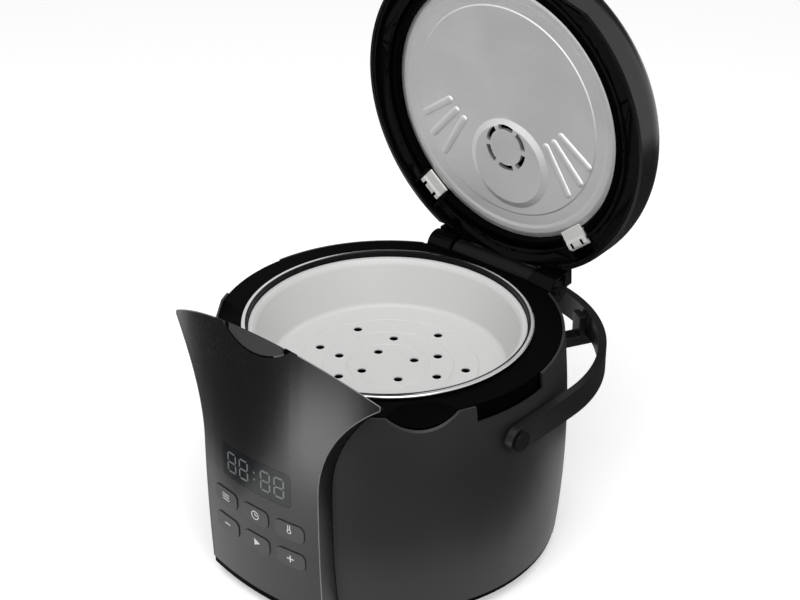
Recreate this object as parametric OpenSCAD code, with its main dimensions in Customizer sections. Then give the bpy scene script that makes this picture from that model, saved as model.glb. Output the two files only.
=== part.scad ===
// Multicooker with a hinged lid standing open, a lift-out pot, a steam basket and a swinging carrying handle.
// Millimetres, +Z up, front towards -Y. The origin is on the pot's axis, on the table.

/* [Body] */
// Width of the top ring, from the pot's rim to the shell's top edge
ring_w = 24; // [22:0.5:27]
// How far the shell swells out beyond its top edge
shell_swell = 5; // [4:0.25:6]
// Height at which the shell is widest
widest_z = 100; // [90:1:110]
// Thickness of the shell's sheet
shell_wall = 2; // [1:0.25:2.5]
// Height of the feet below the base
foot_h = 8; // [5:1:12]
// Radius of a foot
foot_r = 12; // [8:1:15]
// Height of the base cover's visible band
base_band = 6; // [4:1:10]
// Thickness of the moulded walls in the base
base_wall = 3; // [2:0.5:4]
// Height of the room for the boards, from the base's floor to the well
board_room = 23; // [20:1:30]
// Length of the notch in each side of the shell
notch_len = 69; // [50:1:75]
// Depth of the notch below the shell's top edge
notch_depth = 13; // [8:1:16]
// Depth of the dip in the shell's edge beside the front panel
scoop_depth = 12; // [6:1:13]
// Radius of that dip
scoop_r = 50; // [40:1:60]

/* [Pot] */
// Outer radius of the pot's wall
pot_r = 110.5; // [106:0.5:111]
// Thickness of the pot's wall
pot_wall = 2; // [1.5:0.25:2.5]
// Depth of the pot from its rim to its underside
pot_depth = 140; // [130:1:144]
// Radius of the pot's bottom corner
pot_corner = 14; // [8:1:18]
// Reach of the rim beyond the pot's wall
rim_reach = 5.5; // [4.5:0.25:6]
// Height of the widened mouth above its ledge
mouth_h = 9; // [8:0.5:12]
// Height of the pot's rim above the shell's top edge
rim_rise = 4; // [4:0.5:6]

/* [Basket] */
// Depth of the basket's floor below the pot's rim
basket_depth = 44; // [38:1:60]
// How far the basket's flat floor lies inside the pot's wall
basket_taper = 16; // [14:0.5:22]
// Thickness of the basket
basket_wall = 2.2; // [1.8:0.1:3]
// Diameter of a steam hole
steam_hole = 6; // [4:0.5:8]

/* [Front panel] */
// Width of the panel's lower column
panel_w = 120; // [110:1:126]
// Half width of the visor at the top of the panel
visor_half = 105; // [102:1:106]
// Height of the visor's crest above the shell's top edge
crest_rise = 55.5; // [53:0.5:58]
// Radius of the crest's arch
crest_r = 206; // [200:1:215]
// Radius of the sweep from the column to the visor
sweep_r = 102.5; // [98:0.5:105]
// Depth below the shell's top edge at which the sweep begins
sweep_drop = 61.5; // [58:0.5:64]
// How far the panel stands proud of the shell at its widest
panel_proud = 8.5; // [7.5:0.25:9]
// How far the panel leans back from its widest to its crest
panel_lean = 6.5; // [6:0.25:8]
// How far behind the pot's axis the panel's bend is centred, which makes it flatter than the shell
panel_flat = 113; // [105:1:125]
// Thickness of the panel
panel_wall = 3.5; // [3:0.25:4]
// Width of the display window
display_w = 72; // [50:1:90]
// Height of the display window
display_h = 30; // [20:1:36]
// Width of a button
button_w = 27; // [20:1:29]
// Height of a button
button_h = 15; // [10:1:18]
// How far a button is pushed in
button_travel = 1.5; // [0.5:0.1:1.5]

/* [Lid] */
// Angle at which the lid stands open
lid_open = 86.4; // [60:0.1:90]
// How far the lid's edge lies inside the shell's top edge
lid_inset = 1; // [0.5:0.25:2]
// Height of the lid's top above the shell's top edge
lid_rise = 65; // [60:1:72]
// Radius of the lid's shoulder
shoulder_r = 26; // [20:1:30]
// Thickness of the lid's cover
lid_wall = 2.6; // [2:0.2:3]
// How far the inner lid plate's edge lies inside the pot's rim
plate_inset = 5; // [5:0.5:8]
// Thickness of the inner lid plate's sheet
plate_t = 1.2; // [0.8:0.1:1.5]
// Width of a clip
clip_w = 22; // [16:1:26]
// Angle of each clip from the hinge side
clip_angle = 40; // [36:1:48]
// How far a clip slides
clip_travel = 3; // [1:0.5:4]
// Radius of the steam vent's collar
vent_r = 20; // [16:1:24]

/* [Hinge and latch] */
// How far the hinge axis lies inside the shell's top edge
hinge_inset = 2.4; // [0:0.2:4]
// Height of the hinge axis below the shell's top edge
hinge_drop = 4.8; // [4:0.2:6]
// Half length of the hinge barrel
barrel_half = 41; // [36:1:46]
// Radius of the hinge barrel
barrel_r = 10; // [8:0.5:10.5]
// Width of each lid knuckle
knuckle_w = 23.5; // [16:0.5:26]
// Radius of a lid knuckle
knuckle_r = 12; // [10:0.5:12.5]
// Radius of the hinge pin
hinge_pin_r = 3; // [2:0.25:4]
// Half width of the release button
release_half = 27.5; // [20:0.5:29]
// Radius of the release button's recess
recess_r = 51; // [46:1:56]
// Depth of the release button's recess below the crest
recess_depth = 17; // [15:0.5:18]

/* [Handle] */
// Gap between the handle's band and the shell's side
handle_clear = 0.72; // [0.5:0.02:4]
// Thickness of the handle's band
handle_t = 6.5; // [4:0.25:6.75]
// Height of the handle's band
handle_h = 22; // [16:1:26]
// Depth of the handle's top edge below the shell's top edge
handle_drop = 24; // [20:1:30]
// Reach of the handle's rear bar beyond the shell's widest radius
handle_space = 33; // [30:1:45]
// Radius of the handle's rear corners
handle_bend = 132.5; // [120:0.5:136]
// Distance of the handle's pivots in front of the pot's axis
pivot_y = 22; // [14:1:30]
// Radius of the handle's pivot pins
pivot_r = 4; // [3:0.25:5]

/* [Hidden] */
$fn = 120;
round_fn = 240;
arc_fn = 2880;
run_gap = 0.04;
seat_gap = 0.3;
skin_gap = 0.5;
lid_gap = 1.2;
far = 220;

// Levels and radii that several pieces share
base_floor = foot_h + base_wall;
shell_bottom = foot_h + base_band;
well_wall = 1;
well_z = base_floor + board_room;
heater_lift = 6;
heater_t = 14.7;
heater_z = well_z + heater_lift;
plate_top = heater_z + heater_t;
pot_floor_z = plate_top + seat_gap;
rim_z = pot_floor_z + pot_depth;
rim_t = 3.2;
body_top = rim_z - rim_rise;
ring_top = rim_z - 3.5;
pot_rim_r = pot_r + rim_reach;
mouth_r = pot_r + rim_reach / 2;
shell_top_r = pot_rim_r + ring_w;
shell_r = shell_top_r + shell_swell;
well_r = mouth_r + 0.75;
well_top = ring_top - 3 - seat_gap;
heater_r = pot_r - pot_corner - 2.5;
coil_path_r = heater_r * 2 / 3;
coil_r = 4.2;
coil_tail = 8;
sensor_r = 17.4;
sensor_bore = sensor_r + 0.8;
stem_r = 8;
post_circle = well_r - 14;
foot_circle = well_r - 2;
notch_rear = 19;
ring_r = shell_top_r - shell_wall - skin_gap;
ring_wall = 3;
ring_low = body_top - 23;
hinge_y = shell_top_r - hinge_inset;
hinge_z = body_top - hinge_drop;
crest_z = body_top + crest_rise;
sweep_z = body_top - sweep_drop;
panel_r = shell_r + panel_proud;
panel_crest_r = panel_r - panel_lean;
visor_back_low = ring_r - 11.5;
visor_back_high = panel_crest_r - 5;
panel_return = 2.5;

// Radius of the arc that falls back by sag over a half height
function arc_radius(sag, half) = (half * half + sag * sag) / (2 * sag);
// Radius at height z of a side that is widest at widest_z
function side_r(widest, arc, z) = widest - arc + sqrt(arc * arc - (z - widest_z) * (z - widest_z));

shell_arc = arc_radius(shell_r - shell_top_r, body_top - widest_z);
panel_arc = arc_radius(panel_r - panel_crest_r, crest_z - widest_z);

// Lid levels, with the lid shut
lid_r = shell_top_r - lid_inset;
lid_low = body_top + 2;
lid_top = body_top + lid_rise;
dome_sag = 20;
dome_arc = arc_radius(dome_sag, lid_r - shoulder_r);
plate_r = pot_rim_r - plate_inset;
liner_r = lid_r - lid_wall - seat_gap;
liner_low = lid_low + 0.6;
annulus_z = rim_z + 2;
trough_z = rim_z + 8;
sheet_t = 3;
ridge_r = pot_rim_r + 3.5;
ridge_w = 2.5;
ridge_z = rim_z - 0.2;
liner_hole_r = plate_r - 7;
gasket_z = rim_z + 0.6;
shut_plate_z = rim_z + 5;
boss_y = 46;
boss_r = 39;
neck_half = barrel_half + 1.5 + knuckle_w;
clip_in = plate_r + 1.5;
clip_out = plate_r + 19;
clip_z = rim_z + 0.6;
pocket_wall = 3.5;

// Latch levels
latch_z = crest_z - 20;
latch_y = -(panel_crest_r - 5.5);
latch_pin_r = 1.8;
latch_pin_half = 21;
nose_z = ring_top + 7.5;
nose_t = 4;
catch_half = 14;
catch_t = 1.3;

// Handle levels
handle_top = body_top - handle_drop;
handle_low = handle_top - handle_h;
handle_z = handle_top - handle_h / 2;
handle_inner = side_r(shell_r, shell_arc, max(handle_low, widest_z)) + handle_clear;
handle_half = handle_inner + handle_t;
handle_reach = shell_r + handle_space;
bend_x = handle_half - handle_bend;
bend_y = handle_reach - handle_bend;
rest_angle = 62.6;

// Button grid: three columns and two rows
button_pitch_x = button_w + 7;
button_pitch_z = button_h + 11;
button_top_row = widest_z - 12;
button_rows = [button_top_row, button_top_row - button_pitch_z];
button_corner = 5;
button_wall = 2;
button_stem_r = 2.2;
display_z = widest_z + 24;
board_y = -(panel_r - 19);
board_t = 1.6;
board_half = panel_w / 2 - 4;
board_low = widest_z - 60;
board_high = widest_z + 48;
switch_h = 2.2;
switch_half = 3;
power_half = 64;
power_depth = 64;
board_lift = 5;
part_h = board_room - board_lift - 4;
board_front = -post_circle + 8;
board_rear = board_front + power_depth;

// Power inlet
inlet_half = 16;
inlet_h = 24;
inlet_z = shell_bottom + 6;
inlet_pin_r = 2;

// Shared shapes

// Half section bounded outside by a barrel arc
module side_section(widest, arc, inset, low, high) {
    intersection() {
        translate([widest - arc, widest_z])
            circle(r = arc - inset, $fn = arc_fn);
        translate([0, low])
            square([2 * far, high - low]);
    }
}

// Solid of revolution inside a barrel arc
module side_solid(widest, arc, inset, low, high) {
    rotate_extrude($fn = round_fn)
        side_section(widest, arc, inset, low, high);
}

// Section turned about the axis that the front panel bends round
module panel_turn() {
    translate([0, panel_flat, 0])
        rotate_extrude($fn = round_fn)
            children();
}

// Solid behind the front panel's face
module panel_solid(inset, low, high) {
    panel_turn()
        side_section(panel_r + panel_flat, panel_arc, inset, low, high);
}

// Prism of a front view that runs from the middle to the front
module front_prism() {
    rotate([90, 0, 0])
        linear_extrude(height = far)
            children();
}

// Rod along X
module rod_x(r, half) {
    rotate([0, 90, 0])
        cylinder(r = r, h = 2 * half, center = true);
}

// Rod along Y from y0 to y1
module rod_y(r, y0, y1) {
    translate([0, y0, 0])
        rotate([-90, 0, 0])
            cylinder(r = r, h = y1 - y0);
}

// Box between two corners
module block(low, high) {
    translate(low)
        cube(high - low);
}

// Rectangle with round corners about its middle
module round_rect(w, h, r) {
    square([w - 2 * r, h], center = true);
    square([w, h - 2 * r], center = true);
    for (x = [-1, 1], y = [-1, 1])
        translate([x * (w / 2 - r), y * (h / 2 - r)])
            circle(r = r, $fn = 48);
}

// Front view of the panel: a column that sweeps out to an arched visor
module panel_outline(grow) {
    difference() {
        union() {
            translate([-panel_w / 2 - grow, 0])
                square([panel_w + 2 * grow, sweep_z]);
            intersection() {
                translate([0, crest_z - crest_r])
                    circle(r = crest_r + grow, $fn = round_fn);
                translate([-visor_half - grow, sweep_z - 1])
                    square([2 * (visor_half + grow), far]);
            }
        }
        for (s = [-1, 1])
            translate([s * (panel_w / 2 + sweep_r), sweep_z])
                circle(r = sweep_r - grow, $fn = round_fn);
    }
}

// Front view of the release button's recess
module recess_outline(inset) {
    translate([0, crest_z - recess_depth + recess_r])
        circle(r = recess_r - inset, $fn = round_fn);
}

// Cone that the visor leans back to, bent like the panel and grown towards it by less than zero
module visor_cone(shrink) {
    slope = (visor_back_high - visor_back_low) / (crest_z - ring_top);
    past = 30;
    low = ring_top - past;
    high = crest_z + past;
    translate([0, panel_flat, low])
        cylinder(
            r1 = panel_flat + visor_back_low - past * slope - shrink,
            r2 = panel_flat + visor_back_high + past * slope - shrink,
            h = high - low,
            $fn = round_fn
        );
}

// Space that the visor takes from the lid
module visor_space(grow) {
    difference() {
        front_prism()
            intersection() {
                translate([0, crest_z - crest_r])
                    circle(r = crest_r + grow, $fn = round_fn);
                translate([-visor_half - grow, sweep_z])
                    square([2 * (visor_half + grow), far]);
            }
        visor_cone(grow);
    }
}

// Dip beside the panel: a round groove that falls away outwards
module scoop(side, grow) {
    tilt = 30;
    angle = side > 0 ? -38 : 218;
    rotate([0, 0, angle])
        translate([shell_top_r, 0, body_top - scoop_depth])
            rotate([0, tilt, 0])
                translate([0, 0, scoop_r])
                    rotate([0, 90, 0])
                        cylinder(r = scoop_r + grow, h = 90, center = true);
}

// Puts lid pieces, drawn shut, at the open angle
module opened() {
    translate([0, hinge_y, hinge_z])
        rotate([-lid_open, 0, 0])
            translate([0, -hinge_y, -hinge_z])
                children();
}

// Rod on the hinge axis, between two distances on each side
module hinge_rods(r, near, away) {
    for (s = [-1, 1])
        translate([s * (near + away) / 2, hinge_y, hinge_z])
            rod_x(r, (away - near) / 2);
}

// Body

module base_cover() {
    band_r = shell_top_r - 0.5;
    inner_r = ring_r + 0.3;
    post_r = 6;
    slot_w = 4;
    slot_l = 50;
    slot_pitch = 9;
    color("#202022")
        difference() {
            union() {
                rotate_extrude($fn = round_fn)
                    polygon([
                        [0, foot_h], [band_r - 2, foot_h], [band_r, foot_h + 2], [band_r, shell_bottom],
                        [inner_r, shell_bottom], [inner_r, shell_bottom + 12],
                        [inner_r - 2, shell_bottom + 12], [inner_r - 2, base_floor], [0, base_floor]
                    ]);
                for (a = [0 : 90 : 270])
                    rotate([0, 0, a])
                        translate([post_circle, 0, base_floor - 1])
                            cylinder(r = post_r, h = well_z - base_floor + 1);
                for (x = [-1, 1], y = [board_rear - 6, board_front + 6])
                    translate([x * (power_half - 8), y, base_floor - 1])
                        cylinder(r = 3.5, h = board_lift + 1);
                intersection() {
                    block([-panel_w / 2, -far, foot_h], [panel_w / 2, 0, shell_bottom]);
                    difference() {
                        panel_solid(0.5, foot_h, shell_bottom);
                        cylinder(r = inner_r - 1, h = far);
                    }
                }
            }
            for (a = [45 : 90 : 315])
                rotate([0, 0, a])
                    translate([foot_circle, 0, foot_h - 1])
                        cylinder(r = foot_r + 0.2, h = 2);
            for (a = [0 : 90 : 270])
                rotate([0, 0, a])
                    translate([post_circle, 0, 0]) {
                        cylinder(r = 2.1, h = far);
                        cylinder(r = 4.4, h = base_floor + 1);
                    }
            for (i = [-3 : 3])
                translate([i * slot_pitch - slot_w / 2, -slot_l / 2, 0])
                    cube([slot_w, slot_l, base_floor + 1]);
            block([-inlet_half, well_r, inlet_z], [inlet_half, far, far]);
        }
}

module foot_pads() {
    color("#303030")
        for (a = [45 : 90 : 315])
            rotate([0, 0, a])
                translate([foot_circle, 0, 0])
                    rotate_extrude()
                        polygon([[0, 0], [foot_r - 1.5, 0], [foot_r, 1.5], [foot_r, foot_h + 1], [0, foot_h + 1]]);
}

module base_screws() {
    head_h = 3;
    color("silver")
        for (a = [0 : 90 : 270])
            rotate([0, 0, a])
                translate([post_circle, 0, base_floor + 1]) {
                    translate([0, 0, -head_h])
                        cylinder(r = 4.2, h = head_h);
                    cylinder(r = 2, h = well_z - base_floor + 3);
                }
}

module outer_shell() {
    color("#4a4a4c")
        difference() {
            rotate_extrude($fn = round_fn)
                difference() {
                    side_section(shell_r, shell_arc, 0, shell_bottom, body_top);
                    side_section(shell_r, shell_arc, shell_wall, 0, far);
                }
            front_prism()
                panel_outline(0.4);
            for (s = [-1, 1]) {
                scoop(s, 0);
                translate([s * shell_r, 0, handle_z])
                    translate([0, -pivot_y, 0])
                        rod_x(pivot_r + 0.1, 20);
            }
            notch_blocks();
            block([-neck_half - 1.2, 0, hinge_z - knuckle_r - 1.6], [neck_half + 1.2, far, far]);
            block([-inlet_half - seat_gap, 0, inlet_z - seat_gap],
                [inlet_half + seat_gap, far, inlet_z + inlet_h + seat_gap]);
        }
}

// Notches in the two sides of the shell
module notch_blocks() {
    for (s = [-1, 1])
        block(
            [s > 0 ? well_r : -far, notch_rear - notch_len, body_top - notch_depth],
            [s > 0 ? far : -well_r, notch_rear, far * 2]
        );
}

module top_ring() {
    low = ring_low + 4;
    color("#1c1c1e")
        difference() {
            union() {
                rotate_extrude($fn = round_fn)
                    polygon([
                        [well_r + 0.3, ring_top], [ring_r, ring_top], [ring_r, ring_low],
                        [ring_r - ring_wall, ring_low], [ring_r - ring_wall, ring_top - 3.5],
                        [well_r + well_wall + 0.4 + ring_wall, ring_top - 3.5],
                        [well_r + well_wall + 0.4 + ring_wall, low],
                        [well_r + well_wall + 0.4, low], [well_r + well_wall + 0.4, ring_top - 3],
                        [well_r + 0.3, ring_top - 3]
                    ]);
                intersection() {
                    ring_body();
                    union() {
                        scoop(1, 3);
                        scoop(-1, 3);
                        block([-neck_half - 5, 0, 0], [neck_half + 5, far, far]);
                    }
                }
                ledge_strips();
            }
            scoop(1, 0);
            scoop(-1, 0);
            block([-barrel_half - 0.6, hinge_y - barrel_r - 1, hinge_z - barrel_r - 2],
                [barrel_half + 0.6, far, far]);
            hinge_rods(knuckle_r + 0.8, barrel_half + 0.5, neck_half + 0.8);
            for (s = [-1, 1])
                translate([s * (barrel_half + neck_half + 1) / 2, hinge_y, hinge_z])
                    translate([-(knuckle_w + 2) / 2, -knuckle_r - 0.8, 0])
                        cube([knuckle_w + 2, far, far]);
        }
}

// Solid that fills the ring's channel
module ring_body() {
    translate([0, 0, ring_low])
        difference() {
            cylinder(r = ring_r, h = ring_top - ring_low, $fn = round_fn);
            cylinder(r = well_r + well_wall + 1, h = far, $fn = round_fn);
        }
}

// Ledges that show in the shell's side notches
module ledge_strips() {
    strip_h = 2;
    inset = 2;
    front = notch_rear - notch_len + inset;
    for (z = [body_top - 11, body_top - 6])
        intersection() {
            translate([0, 0, z])
                difference() {
                    cylinder(r = ring_r + 0.3, h = strip_h, $fn = round_fn);
                    cylinder(r = ring_r - 1, h = strip_h, $fn = round_fn);
                }
            union() {
                block([well_r, front, 0], [far, notch_rear - inset, far * 2]);
                block([-far, front, 0], [-well_r, notch_rear - inset, far * 2]);
            }
        }
}

module hinge_barrel() {
    color("#2a2a2c")
        difference() {
            union() {
                block([-barrel_half, hinge_y - barrel_r - 1, hinge_z - barrel_r - 2],
                    [barrel_half, hinge_y, hinge_z]);
                translate([0, hinge_y, hinge_z])
                    rod_x(barrel_r, barrel_half);
            }
            translate([0, hinge_y, hinge_z])
                rod_x(hinge_pin_r + run_gap, far);
        }
}

module hinge_pin() {
    color("silver")
        translate([0, hinge_y, hinge_z])
            rod_x(hinge_pin_r, neck_half);
}

// Front panel

module control_panel() {
    color("#161618")
        difference() {
            union() {
                intersection() {
                    panel_skin(0, panel_wall);
                    front_prism()
                        panel_outline(0);
                }
                panel_edge();
                intersection() {
                    for (x = [-1, 1], z = [board_low + 6, board_high - 6])
                        translate([x * (board_half - 4), 0, z])
                            rod_y(3, -far, board_y);
                    panel_solid(1, 0, crest_z);
                }
            }
            intersection() {
                panel_skin(-1, 1.8);
                front_prism()
                    translate([0, display_z])
                        round_rect(display_w + 0.3, display_h + 0.3, 4);
            }
            for (i = [0 : 5])
                front_prism()
                    button_outline(i, 0.35);
            front_prism()
                recess_outline(0);
        }
}

// Shell between two depths below the panel's face
module panel_skin(outer, inner) {
    panel_turn()
        difference() {
            side_section(panel_r + panel_flat, panel_arc, outer, shell_bottom, crest_z + 5);
            side_section(panel_r + panel_flat, panel_arc, inner, 0, far * 2);
        }
}

// Edge of the panel that turns back to the shell
module panel_edge() {
    intersection() {
        difference() {
            panel_solid(panel_wall / 2, shell_bottom, ring_top - 0.1);
            side_solid(shell_r, shell_arc, shell_wall, 0, far);
        }
        front_prism()
            difference() {
                panel_outline(0);
                panel_outline(-panel_return);
            }
    }
}

module visor_body() {
    color("#161618")
        difference() {
            intersection() {
                panel_solid(panel_wall + 0.1, ring_top, crest_z + 5);
                front_prism()
                    panel_outline(0);
            }
            visor_cone(0);
            front_prism()
                recess_outline(0);
            block([-15, -far, ring_top + 4], [15, latch_y + 2.6, latch_z + 9]);
            block([-9, -far, nose_z - 3], [9, 0, nose_z + nose_t + 3]);
            translate([0, latch_y, latch_z])
                rod_x(latch_pin_r + run_gap, latch_pin_half + 1);
        }
}

module display_window() {
    color("#0a1218")
        intersection() {
            panel_skin(0, 1.8);
            front_prism()
                translate([0, display_z])
                    round_rect(display_w, display_h, 4);
        }
}

// Front view of button i of the grid
module button_outline(i, grow) {
    translate([(i % 3 - 1) * button_pitch_x, button_rows[floor(i / 3)]])
        round_rect(button_w + 2 * grow, button_h + 2 * grow, button_corner + grow);
}

// Push button i: a cap through the panel, a collar behind it and a stem that reaches for its switch
module push_button(i) {
    color("#3a3a3e") {
        intersection() {
            panel_skin(-0.8, panel_wall + button_wall);
            front_prism()
                button_outline(i, 0);
        }
        intersection() {
            panel_skin(panel_wall + 0.6, panel_wall + button_wall);
            front_prism()
                button_outline(i, 1.4);
        }
        button_place(i)
            rod_y(button_stem_r, -stem_front(i), board_y - switch_h - button_travel - 0.2);
    }
}

// Moves a piece to the middle of button i
module button_place(i) {
    translate([(i % 3 - 1) * button_pitch_x, 0, button_rows[floor(i / 3)]])
        children();
}

// Distance in front of the pot's axis at which the stem of button i starts, within the button's wall
function stem_front(i) =
    let (
        r = panel_flat + side_r(panel_r, panel_arc, button_rows[floor(i / 3)]) - panel_wall - button_wall / 2,
        x = (i % 3 - 1) * button_pitch_x
    )
    sqrt(r * r - x * x) - panel_flat;

module menu_button() push_button(0);
module timer_button() push_button(1);
module temperature_button() push_button(2);
module minus_button() push_button(3);
module start_button() push_button(4);
module plus_button() push_button(5);

// Latch

module release_button() {
    color("#77777a")
        difference() {
            intersection() {
                crest_skin(0.6, 4.8);
                front_prism()
                    recess_outline(1.2);
                front_prism()
                    panel_outline(-0.2);
                block([-release_half, -far, 0], [release_half, 0, far * 2]);
            }
            block([-13.1, latch_y - 2.3, 0], [13.1, 0, far * 2]);
        }
}

// Straight-sided skin that follows the panel's face over the recess, between two depths
module crest_skin(outer, inner) {
    low = crest_z - recess_depth;
    low_r = panel_flat + side_r(panel_r, panel_arc, low);
    high_r = panel_flat + side_r(panel_r, panel_arc, crest_z);
    panel_turn()
        polygon([
            [low_r - inner, low], [low_r - outer, low],
            [high_r - outer, crest_z], [high_r - inner, crest_z]
        ]);
}

module latch_lever() {
    color("#242426")
        difference() {
            union() {
                block([-13, latch_y - 2.3, latch_z - 4], [13, latch_y, latch_z + 12]);
                translate([0, latch_y, latch_z])
                    rod_x(2.3, 13);
                block([-7.5, latch_y - 1, nose_z], [7.5, latch_y + 1, latch_z - 2]);
                block([-7.5, latch_y - 1, nose_z], [7.5, -visor_face(nose_z) + lid_gap + 1.8, nose_z + nose_t]);
            }
            translate([0, latch_y, latch_z])
                rod_x(latch_pin_r + run_gap, far);
        }
}

// Radius of the visor's back at height z
function visor_face(z) =
    visor_back_low + (visor_back_high - visor_back_low) * (z - ring_top) / (crest_z - ring_top);

module latch_pin() {
    color("silver")
        translate([0, latch_y, latch_z])
            rod_x(latch_pin_r, latch_pin_half);
}

// Heating

module inner_well() {
    color("#b8babc")
        difference() {
            rotate_extrude($fn = round_fn)
                difference() {
                    translate([0, well_z])
                        square([well_r + well_wall, well_top - well_z]);
                    translate([-1, well_z + well_wall])
                        square([well_r + 1, far]);
                }
            cylinder(r = stem_r + 1, h = far);
            for (a = [0 : 90 : 270])
                rotate([0, 0, a])
                    translate([post_circle, 0, 0])
                        cylinder(r = 2.1, h = far);
            coil_ends(coil_r + 1);
        }
}

// Upright ends of the heating coil
module coil_ends(r) {
    for (a = [-15, 15])
        rotate([0, 0, a])
            translate([coil_path_r, 0, well_z - coil_tail])
                cylinder(r = r, h = heater_z - well_z + coil_tail);
}

module heating_plate() {
    foot = heater_z - well_z - well_wall;
    color("#a8a9ab")
        difference() {
            union() {
                translate([0, 0, heater_z])
                    rotate_extrude($fn = round_fn)
                        polygon([
                            [sensor_bore, 0], [heater_r - 4, 0], [heater_r, 4], [heater_r, heater_t - 2],
                            [heater_r - 2, heater_t], [sensor_bore, heater_t]
                        ]);
                for (a = [60 : 120 : 300])
                    rotate([0, 0, a])
                        translate([heater_r - 14, 0, well_z + well_wall])
                            cylinder(r = 5, h = foot + 1);
            }
            translate([0, 0, heater_z])
                rotate_extrude($fn = round_fn)
                    translate([coil_path_r, 0])
                        circle(r = coil_r + 0.1, $fn = 48);
        }
}

module heater_element() {
    color("#6d6a66") {
        translate([0, 0, heater_z])
            rotate([0, 0, 15])
                rotate_extrude(angle = 330, $fn = round_fn)
                    translate([coil_path_r, 0])
                        circle(r = coil_r, $fn = 48);
        coil_ends(coil_r);
    }
}

module temperature_sensor() {
    cap_h = 10;
    color("#c6c7c9") {
        translate([0, 0, plate_top - cap_h])
            rotate_extrude()
                polygon([[0, 0], [sensor_r, 0], [sensor_r, cap_h - 1], [sensor_r - 1, cap_h], [0, cap_h]]);
        translate([0, 0, well_z - 12])
            cylinder(r = stem_r, h = plate_top - cap_h - well_z + 13);
    }
}

module sensor_bracket() {
    color("#8f9093")
        translate([0, 0, well_z - 10])
            rotate_extrude()
                polygon([
                    [stem_r + run_gap, 0], [stem_r + 4, 0], [stem_r + 4, 8], [stem_r + 14, 8],
                    [stem_r + 14, 10], [stem_r + run_gap, 10]
                ]);
}

module thermal_fuse() {
    fuse_r = 2.2;
    color("#d8d4c6")
        translate([-38, 0, heater_z - fuse_r - 0.1])
            rod_y(fuse_r, -10, 10);
}

// Electrics

module control_board() {
    color("#2f6b3c") {
        block([-board_half, board_y, board_low], [board_half, board_y + board_t, board_high]);
        for (i = [0 : 5])
            button_place(i)
                block([-switch_half, board_y - switch_h, -switch_half],
                    [switch_half, board_y + board_t / 2, switch_half]);
    }
}

module power_board() {
    z = base_floor + board_lift;
    base = z + board_t / 2;
    color("#2f6b3c") {
        block([-power_half, board_front, z], [power_half, board_rear, z + board_t]);
        block([-50, board_front + 14, base], [-22, board_rear - 18, z + part_h]);
        block([-8, board_front + 16, base], [12, board_front + 34, z + part_h - 1]);
        translate([36, board_front + 30, base])
            cylinder(r = 8, h = part_h - 1);
    }
}

module power_inlet() {
    wall = 4;
    color("#18181a")
        difference() {
            block([-inlet_half, well_r + 5, inlet_z], [inlet_half, shell_top_r + 3.5, inlet_z + inlet_h]);
            block([wall - inlet_half, well_r + 12, inlet_z + wall],
                [inlet_half - wall, far, inlet_z + inlet_h - wall]);
            pin_rods(inlet_pin_r + 0.05, 0, far);
        }
}

// Rods along Y at the three contacts of the inlet
module pin_rods(r, y0, y1) {
    for (p = [[-6, 10], [6, 10], [0, 15]])
        translate([p[0], 0, inlet_z + p[1]])
            rod_y(r, y0, y1);
}

module inlet_pins() {
    color("silver")
        pin_rods(inlet_pin_r, well_r + 6, shell_top_r);
}

// Handle

// Plan of the hoop, drawn in by inset
module hoop_plan(inset) {
    for (s = [-1, 1])
        translate([s * bend_x, bend_y])
            circle(r = handle_bend - inset, $fn = round_fn);
    translate([-bend_x, 0])
        square([2 * bend_x, handle_reach - inset]);
    translate([-handle_half + inset, -far])
        square([2 * (handle_half - inset), far + bend_y]);
}

module handle() {
    color("#1a1a1c")
        difference() {
            intersection() {
                translate([0, 0, handle_low])
                    linear_extrude(height = handle_h)
                        difference() {
                            hoop_plan(0);
                            hoop_plan(handle_t);
                        }
                union() {
                    block([-far, -pivot_y, 0], [far, far, far]);
                    translate([0, -pivot_y, handle_z])
                        rod_x(handle_h / 2, far);
                }
            }
            translate([0, -pivot_y, handle_z])
                rod_x(pivot_r + run_gap, far);
        }
}

module handle_pivots() {
    color("#2c2c2e")
        for (s = [-1, 1])
            translate([0, -pivot_y, handle_z])
                rotate([0, s * 90, 0]) {
                    translate([0, 0, ring_r - 3])
                        cylinder(r = pivot_r, h = handle_half - ring_r + 5);
                    translate([0, 0, handle_half + 0.4])
                        cylinder(r = pivot_r + 4, h = 2.6);
                    translate([0, 0, ring_r - 4])
                        cylinder(r = pivot_r + 3, h = 3);
                }
}

module handle_rests() {
    arm_w = 14;
    low = handle_low - 9;
    seat = handle_low - 0.4;
    reach = hoop_distance(rest_angle, handle_t);
    color("#1a1a1c")
        for (s = [-1, 1])
            difference() {
                rotate([0, 0, s > 0 ? rest_angle : 180 - rest_angle]) {
                    block([shell_top_r - 5, -arm_w / 2, low], [reach + handle_t - 1, arm_w / 2, seat]);
                    block([reach - 7, -arm_w / 2, low], [reach - 1, arm_w / 2, handle_top - 4]);
                }
                side_solid(shell_r, shell_arc, -0.1, 0, body_top);
            }
}

// Distance from the pot's axis to the hoop's inset outline, in the direction of an angle
function hoop_distance(angle, inset) =
    let (
        along = bend_x * cos(angle) + bend_y * sin(angle),
        square_off = bend_x * bend_x + bend_y * bend_y - (handle_bend - inset) * (handle_bend - inset)
    )
    along + sqrt(along * along - square_off);

// Lid

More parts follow.
